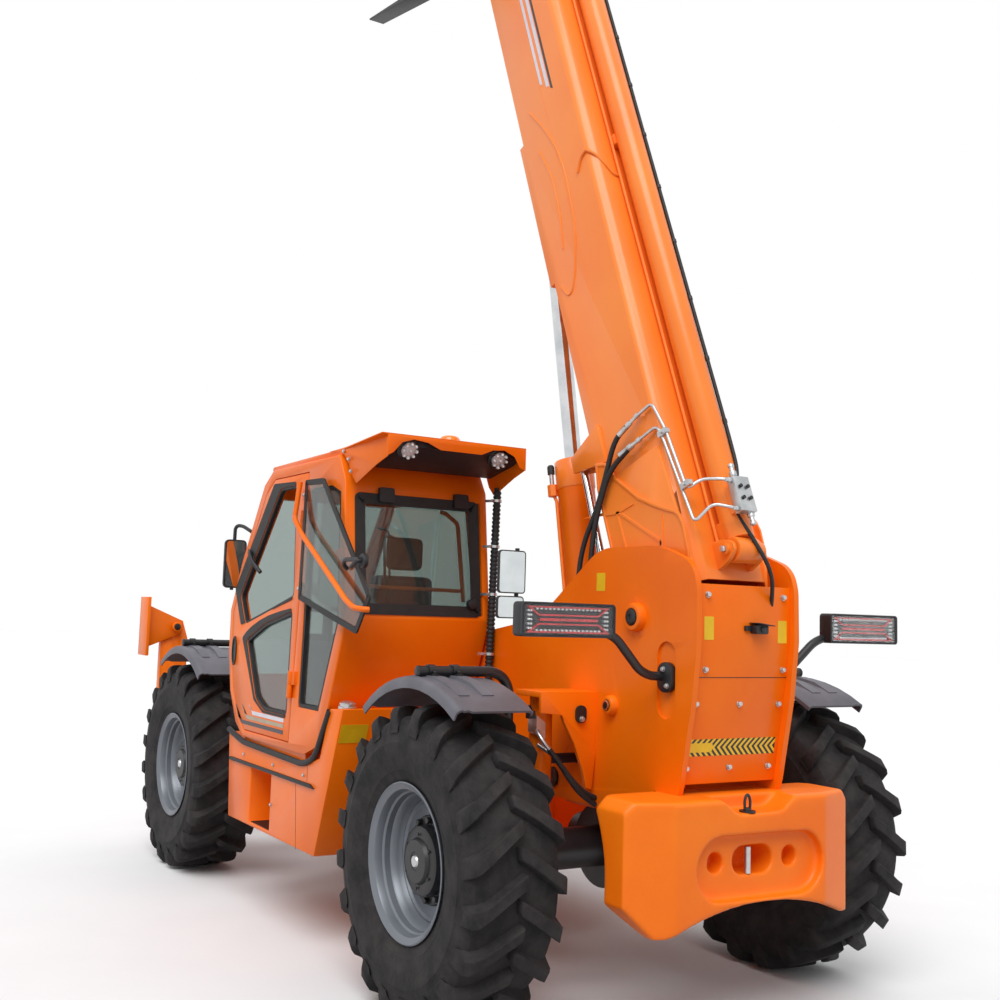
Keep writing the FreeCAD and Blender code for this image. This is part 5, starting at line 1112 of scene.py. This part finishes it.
for side in (1, -1):
    word = "left" if side > 0 else "right"
    outline = [(821, -121), (792, -53), (691, -4), (612, 58), (535, 118), (460, 204), (400, 283), (374, 322),
               (343, 343), (293, 353), (175, 345), (60, 300), (-40, 200), (-70, 60), (-40, -95), (60, -150), (700, -150)]
    traced([on_boom(a, u, side * 216) for a, u in outline], Vector((0, side * 0.006, 0)))
    finish_mesh("tail_doubler_" + word, "boom_arm", sheen_paled_boom_orange)
    ring_frame([on_boom(a, u, side * 222) for a, u in outline], 16, Vector((0, side * 0.005, 0)))
    modified(bpy.context.object, "BEVEL", width=0.003, segments=2, limit_method="ANGLE",
             angle_limit=math.radians(50))
    finish_mesh("tail_doubler_rim_" + word, "boom_arm", sheen_paled_boom_orange)
    ring_frame([on_boom(a, u, side * 222) for a, u in ((539, -59), (533, -36), (284, 196), (262, 190), (345, -53))], 12,
               Vector((0, side * 0.004, 0)), corner=14)
    finish_mesh("pocket_rim_" + word, "boom_arm", sheen_paled_boom_orange)
    welds = [
        tube([on_boom(a, u, side * 199.5) for a, u in ((2924, -40), (2745, 44), (2549, 107), (2384, 122), (2148, 111),
                                                       (1990, 82), (1807, 9), (1723, -54), (1828, -106))], 6, bend=60,
             sides=2),
        tube([on_boom(a, u, side * 199.5) for a, u in ((2654, -35), (2445, 16), (2223, 13), (2062, -16), (2009, -26))],
             5, bend=60, sides=2),
        tube([on_boom(a, u, side * 199) for a, u in ((3068, 89), (1610, 102))], 2.5, sides=2),
        tube([on_boom(a, u, side * 203) for a, u in ((2309, 215), (2372, 268), (2372, 312))], 8, bend=30, sides=2),
        tube([on_boom(2372, 312, side * 203), on_boom(2340, 340, side * 186), on_boom(2272, 354, side * 140),
              on_boom(2210, 354, side * 96), on_boom(2216, 354, side * 66)], 8, bend=22, sides=2)]
    joined(welds)
    finish_mesh("boom_welds_" + word, "boom_arm", sheen_paled_boom_orange)
    # Stripes, in columns: name, lower end along the boom, upper end, height up the side, width, finish.
    for name, low_end, high_end, height, width, finish in (
            ("lilac", 2990, 4300, 92, 20, stripe_white), ("white", 2935, 4300, 136, 24, stripe_white),
            ("dark", 2900, 4300, 168, 16, stripe_dark)):
        traced([on_boom(a, u, side * 200.2) for a, u in ((low_end + 16, height), (high_end, height),
                                                         (high_end, height + width), (low_end, height + width))],
               Vector((0, side * 0.0008, 0)))
        finish_mesh("boom_stripe_%s_%s" % (name, word), "boom_arm", finish, smooth=0)
    tube([on_boom(120, 366, side * 70), on_boom(4800, 366, side * 70)], 7, sides=2)
    finish_mesh("barrel_edge_" + word, "boom_arm", sheen_paled_boom_orange)


# Oil lines of the boom. Two bright bent steel pipes from the valve block on top, held by clamps, with pressed
# fittings to two black hoses that go down into the tower.
pipes = {
    "upper": [(424, 538, 78), (432, 530, 112), (462, 455, 160), (430, 412, 214), (741, 376, 214), (898, 334, 214),
              (887, 217, 222), (868, 172, 236)],
    "lower": [(290, 538, 78), (298, 532, 108), (333, 482, 160), (276, 406, 214), (725, 347, 214), (783, 328, 214),
              (777, 218, 222), (766, 152, 236)],
}
hoses = {
    "upper": [(868, 172, 236), (863, 156, 240), (840, 65, 246), (701, -52, 248), (589, -160, 249), (489, -301, 249),
              (366, -390, 249), (250, -440, 249)],
    "lower": [(766, 152, 236), (760, 143, 240), (724, -10, 248), (622, -114, 249), (521, -202, 249), (394, -275, 249),
              (280, -330, 249)],
}
for name in ("upper", "lower"):
    tube([on_boom(*place) for place in pipes[name]], 7.5, bend=26)
    finish_mesh("boom_pipe_" + name, "boom_arm", zinc)
    start, end = on_boom(*pipes[name][-1]), on_boom(*pipes[name][-2])
    outward = (end - start).normalized()
    spun([(-75, 0.01), (-75, 15), (-20, 15), (-18, 18), (6, 18), (8, 12), (40, 11), (42, 15), (62, 15), (64, 9),
          (64, 0.01)], start, outward, steps=20, closed=False)
    finish_mesh("boom_ferrule_" + name, "boom_arm", zinc)
    bpy.ops.curve.primitive_nurbs_path_add()
    hose = bpy.context.object
    hose.data.splines.clear()
    line = hose.data.splines.new("NURBS")
    places = [on_boom(*place) for place in hoses[name]]
    line.points.add(len(places) - 1)
    for point, place in zip(line.points, places):
        point.co = (*place, 1)
    line.order_u = 3
    line.use_endpoint_u = True
    line.resolution_u = 12
    hose.data.bevel_depth = 0.0125
    hose.data.bevel_resolution = 4
    hose.data.use_fill_caps = True
    bpy.ops.object.convert(target="MESH")
    finish_mesh("boom_hose_" + name, "boom_arm", rubber_black)
clamps = []
for along, up in ((733, 361), (450, 418)):
    clamps.append(traced([on_boom(along + a, up + u, 205) for a, u in ((-14, -30), (14, -30), (14, 30), (-14, 30))],
                         Vector((0, 0.022, 0)), corner=8))
    clamps.append(bolt_head(on_boom(along, up, 227), (0, 1, 0), 12, 7))
joined(clamps)
finish_mesh("boom_pipe_clamps", "boom_arm", zinc)
block = [traced([on_boom(a, u, -10) for a, u in ((438, 516), (276, 516), (276, 558), (438, 558))],
                Vector((0, 0.088, 0)), corner=3)]
for place in ((424, 538, 78), (290, 538, 78)):
    block.append(spun([(0, 0.01), (0, 13), (14, 13), (16, 10), (26, 10), (26, 0.01)], on_boom(*place), (0, 1, 0), steps=6,
                      closed=False))
for place, way in (((438, 537, 52), 1), ((276, 534, 10), -1)):
    block.append(spun([(0, 0.01), (0, 17), (22, 17), (24, 11), (44, 11), (46, 15), (58, 14), (60, 0.01)],
                      on_boom(*place), boom_axis * way, steps=16, closed=False))
joined(block)
modified(bpy.context.object, "BEVEL", width=0.003, segments=2, limit_method="ANGLE", angle_limit=math.radians(60))
finish_mesh("valve_block", "boom_arm", alloy)
screws = [spun([(0, 0.01), (0, 9), (8, 9), (9, 7), (9, 0.01)], on_boom(a, 558, y), boom_rise, steps=16, closed=False)
          for a, y in ((388, 54), (388, 14), (334, 54), (334, 14))]
joined(screws)
finish_mesh("valve_block_screws", "boom_arm", black_enamel)
traced([on_boom(a, u, 10) for a, u in ((420, 470), (296, 470), (296, 517), (420, 517))], Vector((0, 0.045, 0)), corner=4)
finish_mesh("valve_block_bracket", "boom_arm", sheen_paled_boom_orange)

# Extension cylinder: its foot between two ears with a pin and nut, and a thin black hose beside the barrel, held
# by small clips, that runs down to the tower.
spun([(-66, 30), (-66, 52), (-58, 56), (58, 56), (66, 52), (66, 30)], on_boom(150, 430), (0, 1, 0), steps=36)
finish_mesh("extension_foot", "boom_arm", sheen_paled_boom_orange)
spun([(-110, 0.01), (-110, 24), (110, 24), (110, 0.01)], on_boom(150, 430), (0, 1, 0), steps=24, closed=False)
finish_mesh("extension_foot_pin", "boom_arm", sheen_paled_boom_orange)
for side in (1, -1):
    word = "left" if side > 0 else "right"
    ear = traced([on_boom(a, u, side * 74) for a, u in ((214, 346), (86, 346), (100, 420), (122, 462), (150, 472),
                                                        (178, 462), (200, 420))], Vector((0, side * 0.020, 0)), corner=16)
    modified(ear, "BEVEL", width=0.003, segments=2, limit_method="ANGLE", angle_limit=math.radians(50))
    finish_mesh("extension_ear_" + word, "boom_arm", sheen_paled_boom_orange)
bolt_head(on_boom(150, 430, 104), (0, 1, 0), 26, 18)
finish_mesh("extension_pin_nut", "boom_arm", zinc)
places = [on_boom(4700, 470, -60), on_boom(3000, 470, -60), on_boom(1500, 470, -60), on_boom(640, 474, -58),
          on_boom(480, 490, -30), on_boom(420, 486, 20), on_boom(330, 470, 40), on_boom(160, 500, -10),
          on_boom(40, 470, -90), on_boom(-40, 380, -150), on_boom(-110, 300, -180)]
bpy.ops.curve.primitive_nurbs_path_add()
hose = bpy.context.object
hose.data.splines.clear()
line = hose.data.splines.new("NURBS")
line.points.add(len(places) - 1)
for point, place in zip(line.points, places):
    point.co = (*place, 1)
line.order_u = 3
line.use_endpoint_u = True
line.resolution_u = 12
hose.data.bevel_depth = 0.009
hose.data.bevel_resolution = 3
hose.data.use_fill_caps = True
bpy.ops.object.convert(target="MESH")
finish_mesh("barrel_hose", "boom_arm", rubber_black)
clips = [spun([(-9, 8), (-9, 13), (9, 13), (9, 8)], on_boom(along, 470, -60), boom_axis, steps=14)
         for along in range(760, 4700, 330)]
joined(clips)
finish_mesh("barrel_hose_clips", "boom_arm", plastic_black)


# Lift cylinder: a bolted gland ring round the top of its barrel, and a thin oil pipe down its side with a black
# capped fitting.
lift_foot = spot(-1465, 0, 950)
lift_axis = (on_boom(2650, -250) - lift_foot).normalized()
ring_bolts = []
barrel = node_copy("lift_barrel")
for vertex in barrel.data.vertices:
    along = (vertex.co - lift_foot).dot(lift_axis)
    out = vertex.co - lift_foot - lift_axis * along
    if along > 0.2 and out.length > 0.09:
        vertex.co = lift_foot + lift_axis * (along - (0.035 if along > 1.5 else 0)) + out.normalized() * 0.096
softened("lift_barrel", body_orange, 3, steps=2, piece=barrel)
spun([(1415, 96), (1415, 100), (1420, 103), (1560, 103), (1566, 99), (1566, 80), (1564, 60), (1415, 60)], lift_foot,
     lift_axis, steps=48)
finish_mesh("lift_gland_ring", "lift_tube", sheen_paled_boom_orange)
side_way = lift_axis.cross(Vector((0, 1, 0))).normalized()
for number in range(14):
    angle = number * math.tau / 14
    around = Vector((0, math.cos(angle), 0)) + side_way * math.sin(angle)
    ring_bolts.append(bolt_head(lift_foot + lift_axis * 1.566 + around * 0.086, lift_axis, 21, 13, washer=False))
joined(ring_bolts)
finish_mesh("lift_gland_bolts", "lift_tube", pin_orange)
pipe_side = Vector((0, 0.861, 0)) + side_way * (0.508 if side_way.x > 0 else -0.508)
pipe_side.normalize()
tube([lift_foot + lift_axis * along + pipe_side * out for along, out in ((0.10, 0.106), (1.38, 0.106), (1.42, 0.122))],
     9, bend=10)
finish_mesh("lift_pipe", "lift_tube", sheen_paled_boom_orange)
spun([(1400, 0.01), (1400, 26), (1460, 26), (1460, 0.01)], lift_foot + pipe_side * 0.122, lift_axis, steps=6,
     closed=False)
finish_mesh("lift_pipe_block", "lift_tube", sheen_paled_boom_orange)
spun([(1460, 0.01), (1460, 12), (1520, 12), (1520, 0.01)], lift_foot + pipe_side * 0.122, lift_axis, steps=20,
     closed=False)
finish_mesh("lift_pipe_fitting", "lift_tube", zinc)
spun([(1520, 0.01), (1520, 19), (1560, 19), (1570, 12), (1570, 0.01)], lift_foot + pipe_side * 0.122, lift_axis,
     steps=20, closed=False)
finish_mesh("lift_pipe_cap", "lift_tube", rubber_black)


# Tower top: two small lifting lugs between the plates.
lugs = []
for y in (196, -196):
    lugs.append(ring_frame([spot(-2280 + 46 * math.cos(a * math.tau / 20), y, 1880 + 46 * math.sin(a * math.tau / 20))
                            for a in range(20)], 24, Vector((0, 0.022, 0))))
joined(lugs)
finish_mesh("tower_lugs", "chassis", body_orange)


# Axle lock fittings: a valve with a black coil on an aluminium block beside the lock's barrel, bright elbows and
# two black hoses down to the frame.
for side in (1, -1):
    word = "left" if side > 0 else "right"
    traced([spot(-1725, side * y, z) for y, z in ((568, 1262), (520, 1228), (520, 1158), (568, 1186))],
           Vector((0.07, 0, 0)), corner=4)
    finish_mesh("lock_valve_block_" + word, "chassis", alloy)
    coil = [spun([(0, 0.01), (0, 21), (52, 21), (54, 16), (54, 0.01)], spot(-1690, side * 556, 1240),
                 (0, side * 0.5, 0.86), steps=24, closed=False),
            traced([spot(-1716, side * y, z) for y, z in ((570, 1246), (602, 1246), (602, 1282), (570, 1282))],
                   Vector((0.03, 0, 0)), corner=4)]
    joined(coil)
    finish_mesh("lock_valve_coil_" + word, "chassis", plastic_black)
    tube([spot(-1690, side * 548, 1205), spot(-1735, side * 566, 1186), spot(-1768, side * 560, 1150),
          spot(-1772, side * 530, 1118)], 10, bend=16)
    finish_mesh("lock_elbow_" + word, "chassis", zinc)
    tube([spot(-1700, side * 540, 1130), spot(-1750, side * 520, 1104), spot(-1770, side * 490, 1080)], 10, bend=16)
    finish_mesh("lock_elbow_low_" + word, "chassis", zinc)
    for number, route in enumerate((((-1772, 530, 1118), (-1786, 470, 1040), (-1800, 400, 960), (-1802, 340, 915),
                                     (-1800, 291, 900)),
                                    ((-1770, 490, 1080), (-1790, 450, 1010), (-1806, 390, 930), (-1806, 330, 890),
                                     (-1800, 291, 870)))):
        tube([spot(x, side * y, z) for x, y, z in route], 12, bend=60)
        finish_mesh("lock_hose_%s_%d" % (word, number), "chassis", rubber_black)


# Cab hose: a corrugated black plastic conduit with bright clips, up the right rear corner of the cab.
hose_foot, hose_top = spot(-905, 319, 1403), spot(-905, 297, 2363)
run = hose_top - hose_foot
line = [(0, 0.01)]
for number in range(int(run.length * 1000 / 22)):
    line += [(number * 22, 17), (number * 22 + 7, 21.5), (number * 22 + 14, 21.5), (number * 22 + 20, 17)]
line.append((run.length * 1000, 17))
line.append((run.length * 1000, 0.01))
spun(line, hose_foot, run, steps=18, closed=False)
finish_mesh("cab_conduit", "chassis", rubber_black)
tube([spot(-905, 319, 1408), spot(-900, 316, 1330), spot(-870, 310, 1250), spot(-860, 285, 1180)], 19, bend=60)
finish_mesh("cab_conduit_foot", "chassis", rubber_black)
clips = []
for share in (0.10, 0.42, 0.68, 0.93):
    clips.append(spun([(-7, 22), (-7, 26), (7, 26), (7, 22)], hose_foot + run * share, run, steps=24))
    clips.append(traced([hose_foot + run * share + Vector(place) * 0.001 for place in
                         ((0, 22, -7), (0, 22, 7), (46, 44, 7), (46, 44, -7))], Vector((0.003, 0, 0))))
    clips.append(bolt_head(hose_foot + run * share + Vector((-0.004, 0.033, 0)), (-1, 0, 0), 11, 6))
joined(clips)
finish_mesh("cab_conduit_clips", "chassis", zinc)


# Mirrors: black moulded housings with round corners and a silvered face, on bent black arms.
# In columns: name, x of the face, y span, z span.
for name, x, (y0, y1), (z0, z1) in (("left", 720, (1068, 1202), (1812, 2104)), ("right", 860, (-1062, -838), (1856, 2160)),
                                    ("right_low", 860, (-1052, -832), (1680, 1838))):
    rectangle = [(y0, z0), (y1, z0), (y1, z1), (y0, z1)]
    housing = traced([spot(x + 6, y, z) for y, z in rectangle], Vector((0.026, 0, 0)), corner=26)
    modified(housing, "BEVEL", width=0.010, segments=3, limit_method="ANGLE", angle_limit=math.radians(60))
    finish_mesh("mirror_housing_" + name, "chassis", plastic_black, ["mirrors"] if name == "left" else [])
    ring_frame([spot(x + 6, y, z) for y, z in rectangle], 9, Vector((-0.006, 0, 0)), corner=26)
    finish_mesh("mirror_rim_" + name, "chassis", plastic_black)
    traced([spot(x + 3, y, z) for y, z in ((y0 + 8, z0 + 8), (y1 - 8, z0 + 8), (y1 - 8, z1 - 8), (y0 + 8, z1 - 8))],
           Vector((-0.003, 0, 0)), corner=20)
    finish_mesh("mirror_glass_" + name, "chassis", mirror_silver)
arms = [tube([spot(896, -1010, 1105), spot(896, -1010, 2178)], 16),
        tube([spot(896, -1024, 1120), spot(896, -292, 1120)], 18),
        tube([spot(600, 1085, 2150), spot(700, 1110, 2190), spot(748, 1136, 2190), spot(752, 1140, 1800)], 11, bend=30)]
joined(arms)
finish_mesh("mirror_arms", "chassis", black_enamel)


# Driver's place: a suspension seat in woven cloth, pressed and stitched in channels, a moulded console, and a steering
# wheel on its post.
def pad(name, places, rise, seams):
    """A padded cushion: a rounded box drawn from its corners, crowned, with sewn channels across it."""
    low, high = Vector(places[0]), Vector(places[1])
    bpy.ops.mesh.primitive_cube_add(size=1, location=(low + high) / 2 * 0.001)
    block = bpy.context.object
    block.scale = (high - low) * 0.001
    bpy.ops.object.transform_apply(location=True, rotation=True, scale=True)
    modified(block, "BEVEL", width=min(high - low) * 0.00036, segments=3, limit_method="ANGLE")
    bpy.ops.object.mode_set(mode="EDIT")
    bpy.ops.mesh.select_all(action="SELECT")
    bpy.ops.mesh.subdivide(number_cuts=7)
    bpy.ops.object.mode_set(mode="OBJECT")
    centre, span = (low + high) / 2, (high - low) / 2
    for vertex in block.data.vertices:
        along = [(vertex.co[axis] * 1000 - centre[axis]) / span[axis] for axis in range(3)]
        thin = min(range(3), key=lambda axis: span[axis])
        others = [axis for axis in range(3) if axis != thin]
        crown = (1 - along[others[0]] ** 2) * (1 - along[others[1]] ** 2)
        channel = max(0.0, 1 - min(abs(along[others[1]] - seam) for seam in seams) * 9) if seams else 0.0
        vertex.co[thin] += along[thin] * (rise * crown - 9 * channel * max(0.0, crown) ** 0.3) * 0.001
    modified(block, "SUBSURF", levels=1, render_levels=1)
    piece = finish_mesh(name, "chassis", seat_cloth)
    return piece


cushion = pad("seat_cushion", ((-548, 492, 1306), (-132, 858, 1396)), 10, (-0.45, 0.45))
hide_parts("seat")
pad("seat_back", ((-632, 506, 1412), (-532, 850, 1888)), 12, (-0.5, 0.1, 0.6))
pad("seat_headrest", ((-626, 568, 1920), (-536, 764, 2092)), 8, ())
traced([spot(x, 505, z) for x, z in ((-540, 1296), (-140, 1296), (-150, 1262), (-420, 1240), (-540, 1262))],
       Vector((0, 0.34, 0)), corner=10)
finish_mesh("seat_pan", "chassis", plastic_black)
folds = []
for number in range(7):
    z = 1010 + number * 34
    inset = 14 if number % 2 else 0
    folds.append([spot(x, y, z) for x, y in ((-420 + inset, 585 + inset), (-185 - inset, 585 + inset),
                                             (-185 - inset, 845 - inset), (-420 + inset, 845 - inset))])
drawn_through(folds)
finish_mesh("seat_bellows", "chassis", rubber_black)
console = drawn_through([[spot(x, y, z) for x, y in ((x0, 565), (x1, 565), (x1, 875), (x0, 875))]
                         for z, x0, x1 in ((1004, 296, 414), (1320, 300, 416), (1470, 296, 418), (1540, 330, 418),
                                           (1556, 350, 410))])
modified(console, "BEVEL", width=0.018, segments=3, limit_method="ANGLE", angle_limit=math.radians(30))
finish_mesh("dashboard", "chassis", console_grey, ["steering_console"])
tube([spot(285, 715, 1310), spot(258, 715, 1500), spot(250, 715, 1690)], 30, bend=80)
finish_mesh("steering_post_sleeve", "chassis", console_grey)
wheel_parts = []
bpy.ops.mesh.primitive_torus_add(major_radius=0.184, minor_radius=0.0145, location=spot(250, 715, 1700),
                                 major_segments=48, minor_segments=12)
wheel_parts.append(bpy.context.object)
for degrees in (90, 210, 330):
    angle = math.radians(degrees)
    wheel_parts.append(tube([spot(250, 715, 1690),
                             spot(250 + 180 * math.cos(angle), 715 + 180 * math.sin(angle), 1699)], 11))
wheel_parts.append(spun([(-12, 0.01), (-12, 42), (4, 46), (12, 38), (14, 0.01)], spot(250, 715, 1692), (0, 0, 1),
                        steps=28, closed=False))
joined(wheel_parts)
finish_mesh("steering_wheel", "chassis", plastic_black)
levers = []
for y, lean in ((590, 20), (630, 0)):
    levers.append(tube([spot(-60, y, 1010), spot(-70, y, 1300), spot(-60 + lean, y, 1480)], 8, bend=40))
    levers.append(spun([(0, 0.01), (0, 14), (20, 20), (44, 20), (54, 10), (54, 0.01)], spot(-60 + lean, y, 1470),
                       (0, 0, 1), steps=20, closed=False))
levers.append(traced([spot(x, 560, z) for x, z in ((-110, 1004), (0, 1004), (0, 1180), (-110, 1220))],
                     Vector((0, 0.10, 0)), corner=10))
joined(levers)
finish_mesh("side_levers", "chassis", plastic_black)
guard_bars = [tube([spot(-770, 560, 2226), spot(-770, 532, 2222), spot(-770, 456, 2171), spot(-800, 424, 1762)], 11,
                   bend=20),
              tube([spot(-800, 440, 1818), spot(-800, 1040, 1824)], 10)]
joined(guard_bars)
finish_mesh("rear_inner_bars", "chassis", body_orange)
wiper = [tube([spot(-792, 830, 2070), spot(-792, 872, 2084), spot(-794, 896, 2070), spot(-806, 880, 1706)], 7, bend=16),
         tube([spot(-784, 930, 2120), spot(-784, 868, 2108), spot(-806, 852, 1706)], 6, bend=16),
         spun([(0, 0.01), (0, 26), (16, 30), (30, 24), (36, 0.01)], on_rear_wall(420, 1752, 2), (-1, 0, 0), steps=24,
              closed=False)]
joined(wiper)
finish_mesh("rear_wiper", "chassis", plastic_black)


# Tank and step: a rubber seal under the cab, a rubbing strip along the side, the step's ribbed tread, the filler cap
# on top and a blank label.
tube([spot(x, 1131, z) for x, z in ((688, 978), (619, 962), (442, 928), (-448, 910), (-590, 960), (-700, 1140),
                                    (-742, 1205))], 16, bend=60)
finish_mesh("cab_seal", "chassis", rubber_black, ["cab_trim"])
traced([spot(x, 325, z) for x, z in ((-430, 916), (460, 916), (460, 959), (-430, 959))], Vector((0, 0.790, 0)),
       corner=6)
finish_mesh("cab_mounts", "chassis", body_orange)
strip = traced([spot(x, 1129, z) for x, z in ((638, 806), (638, 824), (-550, 824), (-600, 806))],
               Vector((0, 0.012, 0)), corner=4)
modified(strip, "BEVEL", width=0.003, segments=2, limit_method="ANGLE", angle_limit=math.radians(60))
finish_mesh("rubbing_strip", "chassis", rubber_black)
tread = []
for number in range(9):
    tread.append(traced([spot(4 + number * 33, 958, 500), spot(20 + number * 33, 958, 500),
                         spot(20 + number * 33, 1122, 500), spot(4 + number * 33, 1122, 500)],
                        Vector((0, 0, 0.006)), corner=4))
joined(tread)
finish_mesh("step_tread", "chassis", black_enamel)
joined([bolt_head(spot(x, 1130, z), (0, 1, 0), 14, 7) for x, z in ((417, 861), (-37, 857), (-456, 857), (-28, 644))])
finish_mesh("tank_bolts", "chassis", zinc)
seams = [traced([spot(x, 1130, z) for x, z in ((-356, 800), (-353, 800), (-388, 474), (-391, 474))],
                Vector((0, 0.0006, 0))),
         traced([spot(x, 1130, z) for x, z in ((-500, 830), (-497, 830), (-497, 905), (-500, 905))],
                Vector((0, 0.0006, 0)))]
joined(seams)
finish_mesh("tank_seams", "chassis", rubber_black, smooth=0)
cap = [spun([(0, 0.01), (0, 46), (16, 46), (18, 40), (30, 38), (36, 30), (36, 0.01)], spot(-815, 1070, 1222),
            (-0.1, 0, 1), steps=32, closed=False)]
for number in range(8):
    angle = number * math.tau / 8
    cap.append(bolt_head(spot(-815 + 38 * math.cos(angle), 1070 + 38 * math.sin(angle), 1240), (0, 0, 1), 9, 5,
                         washer=False))
joined(cap)
finish_mesh("filler_cap", "chassis", zinc)
slope = Vector((-893 + 620, 0, 1225 - 480)).normalized()
slope_out = Vector((-slope.z, 0, slope.x))
label_foot = spot(-893, 0, 1225) - slope * 0.179
traced([label_foot + slope * along + slope_out * 0.0008 + Vector((0, y, 0)) for along, y in
        ((0, 0.974), (0, 1.120), (0.097, 1.120), (0.097, 0.974))], slope_out * 0.001, corner=4)
finish_mesh("tank_label", "chassis", label_yellow, smooth=0)


# Engine side: pressed louvres in the hood, a latch, and the covers on the engine block.
slats = []
for number in range(12):
    x = -700 + number * 52
    slats.append(traced([spot(x, -1130, 1140), spot(x + 30, -1130, 1140), spot(x + 22, -1142, 1140),
                         spot(x + 4, -1142, 1140)], Vector((0, 0, -0.36))))
joined(slats)
finish_mesh("hood_louvres", "hood", body_orange)
traced([spot(x, -1130, z) for x, z in ((180, 700), (300, 700), (300, 750), (180, 750))], Vector((0, -0.018, 0)), corner=14)
finish_mesh("hood_latch", "hood", plastic_black)
ribs = []
for number in range(6):
    x = -360 + number * 150
    ribs.append(traced([spot(x, -970, 1240), spot(x + 60, -970, 1240), spot(x + 60, -430, 1240), spot(x, -430, 1240)],
                       Vector((0, 0, 0.045)), corner=10))
joined(ribs)
finish_mesh("engine_covers", "chassis", engine_grey)


# Stabiliser pins: black ends with an orange ring round them.
for side in (1, -1):
    word = "left" if side > 0 else "right"
    for x, out in ((2365, -1), (2535, 1)):
        centre = Vector((x * 0.001, side * 0.966, 1.541))
        spun([(-18, 24), (-18, 34), (0, 34), (2, 31), (2, 24)], centre, (out, 0, 0), steps=28)
        finish_mesh("foot_pin_ring_%s_%d" % (word, out + 1), "foot_" + word, body_orange)
        spun([(-22, 0.01), (-22, 24), (4, 24), (6, 20), (6, 0.01)], centre, (out, 0, 0), steps=24, closed=False)
        finish_mesh("foot_pin_%s_%d" % (word, out + 1), "foot_" + word, black_enamel)
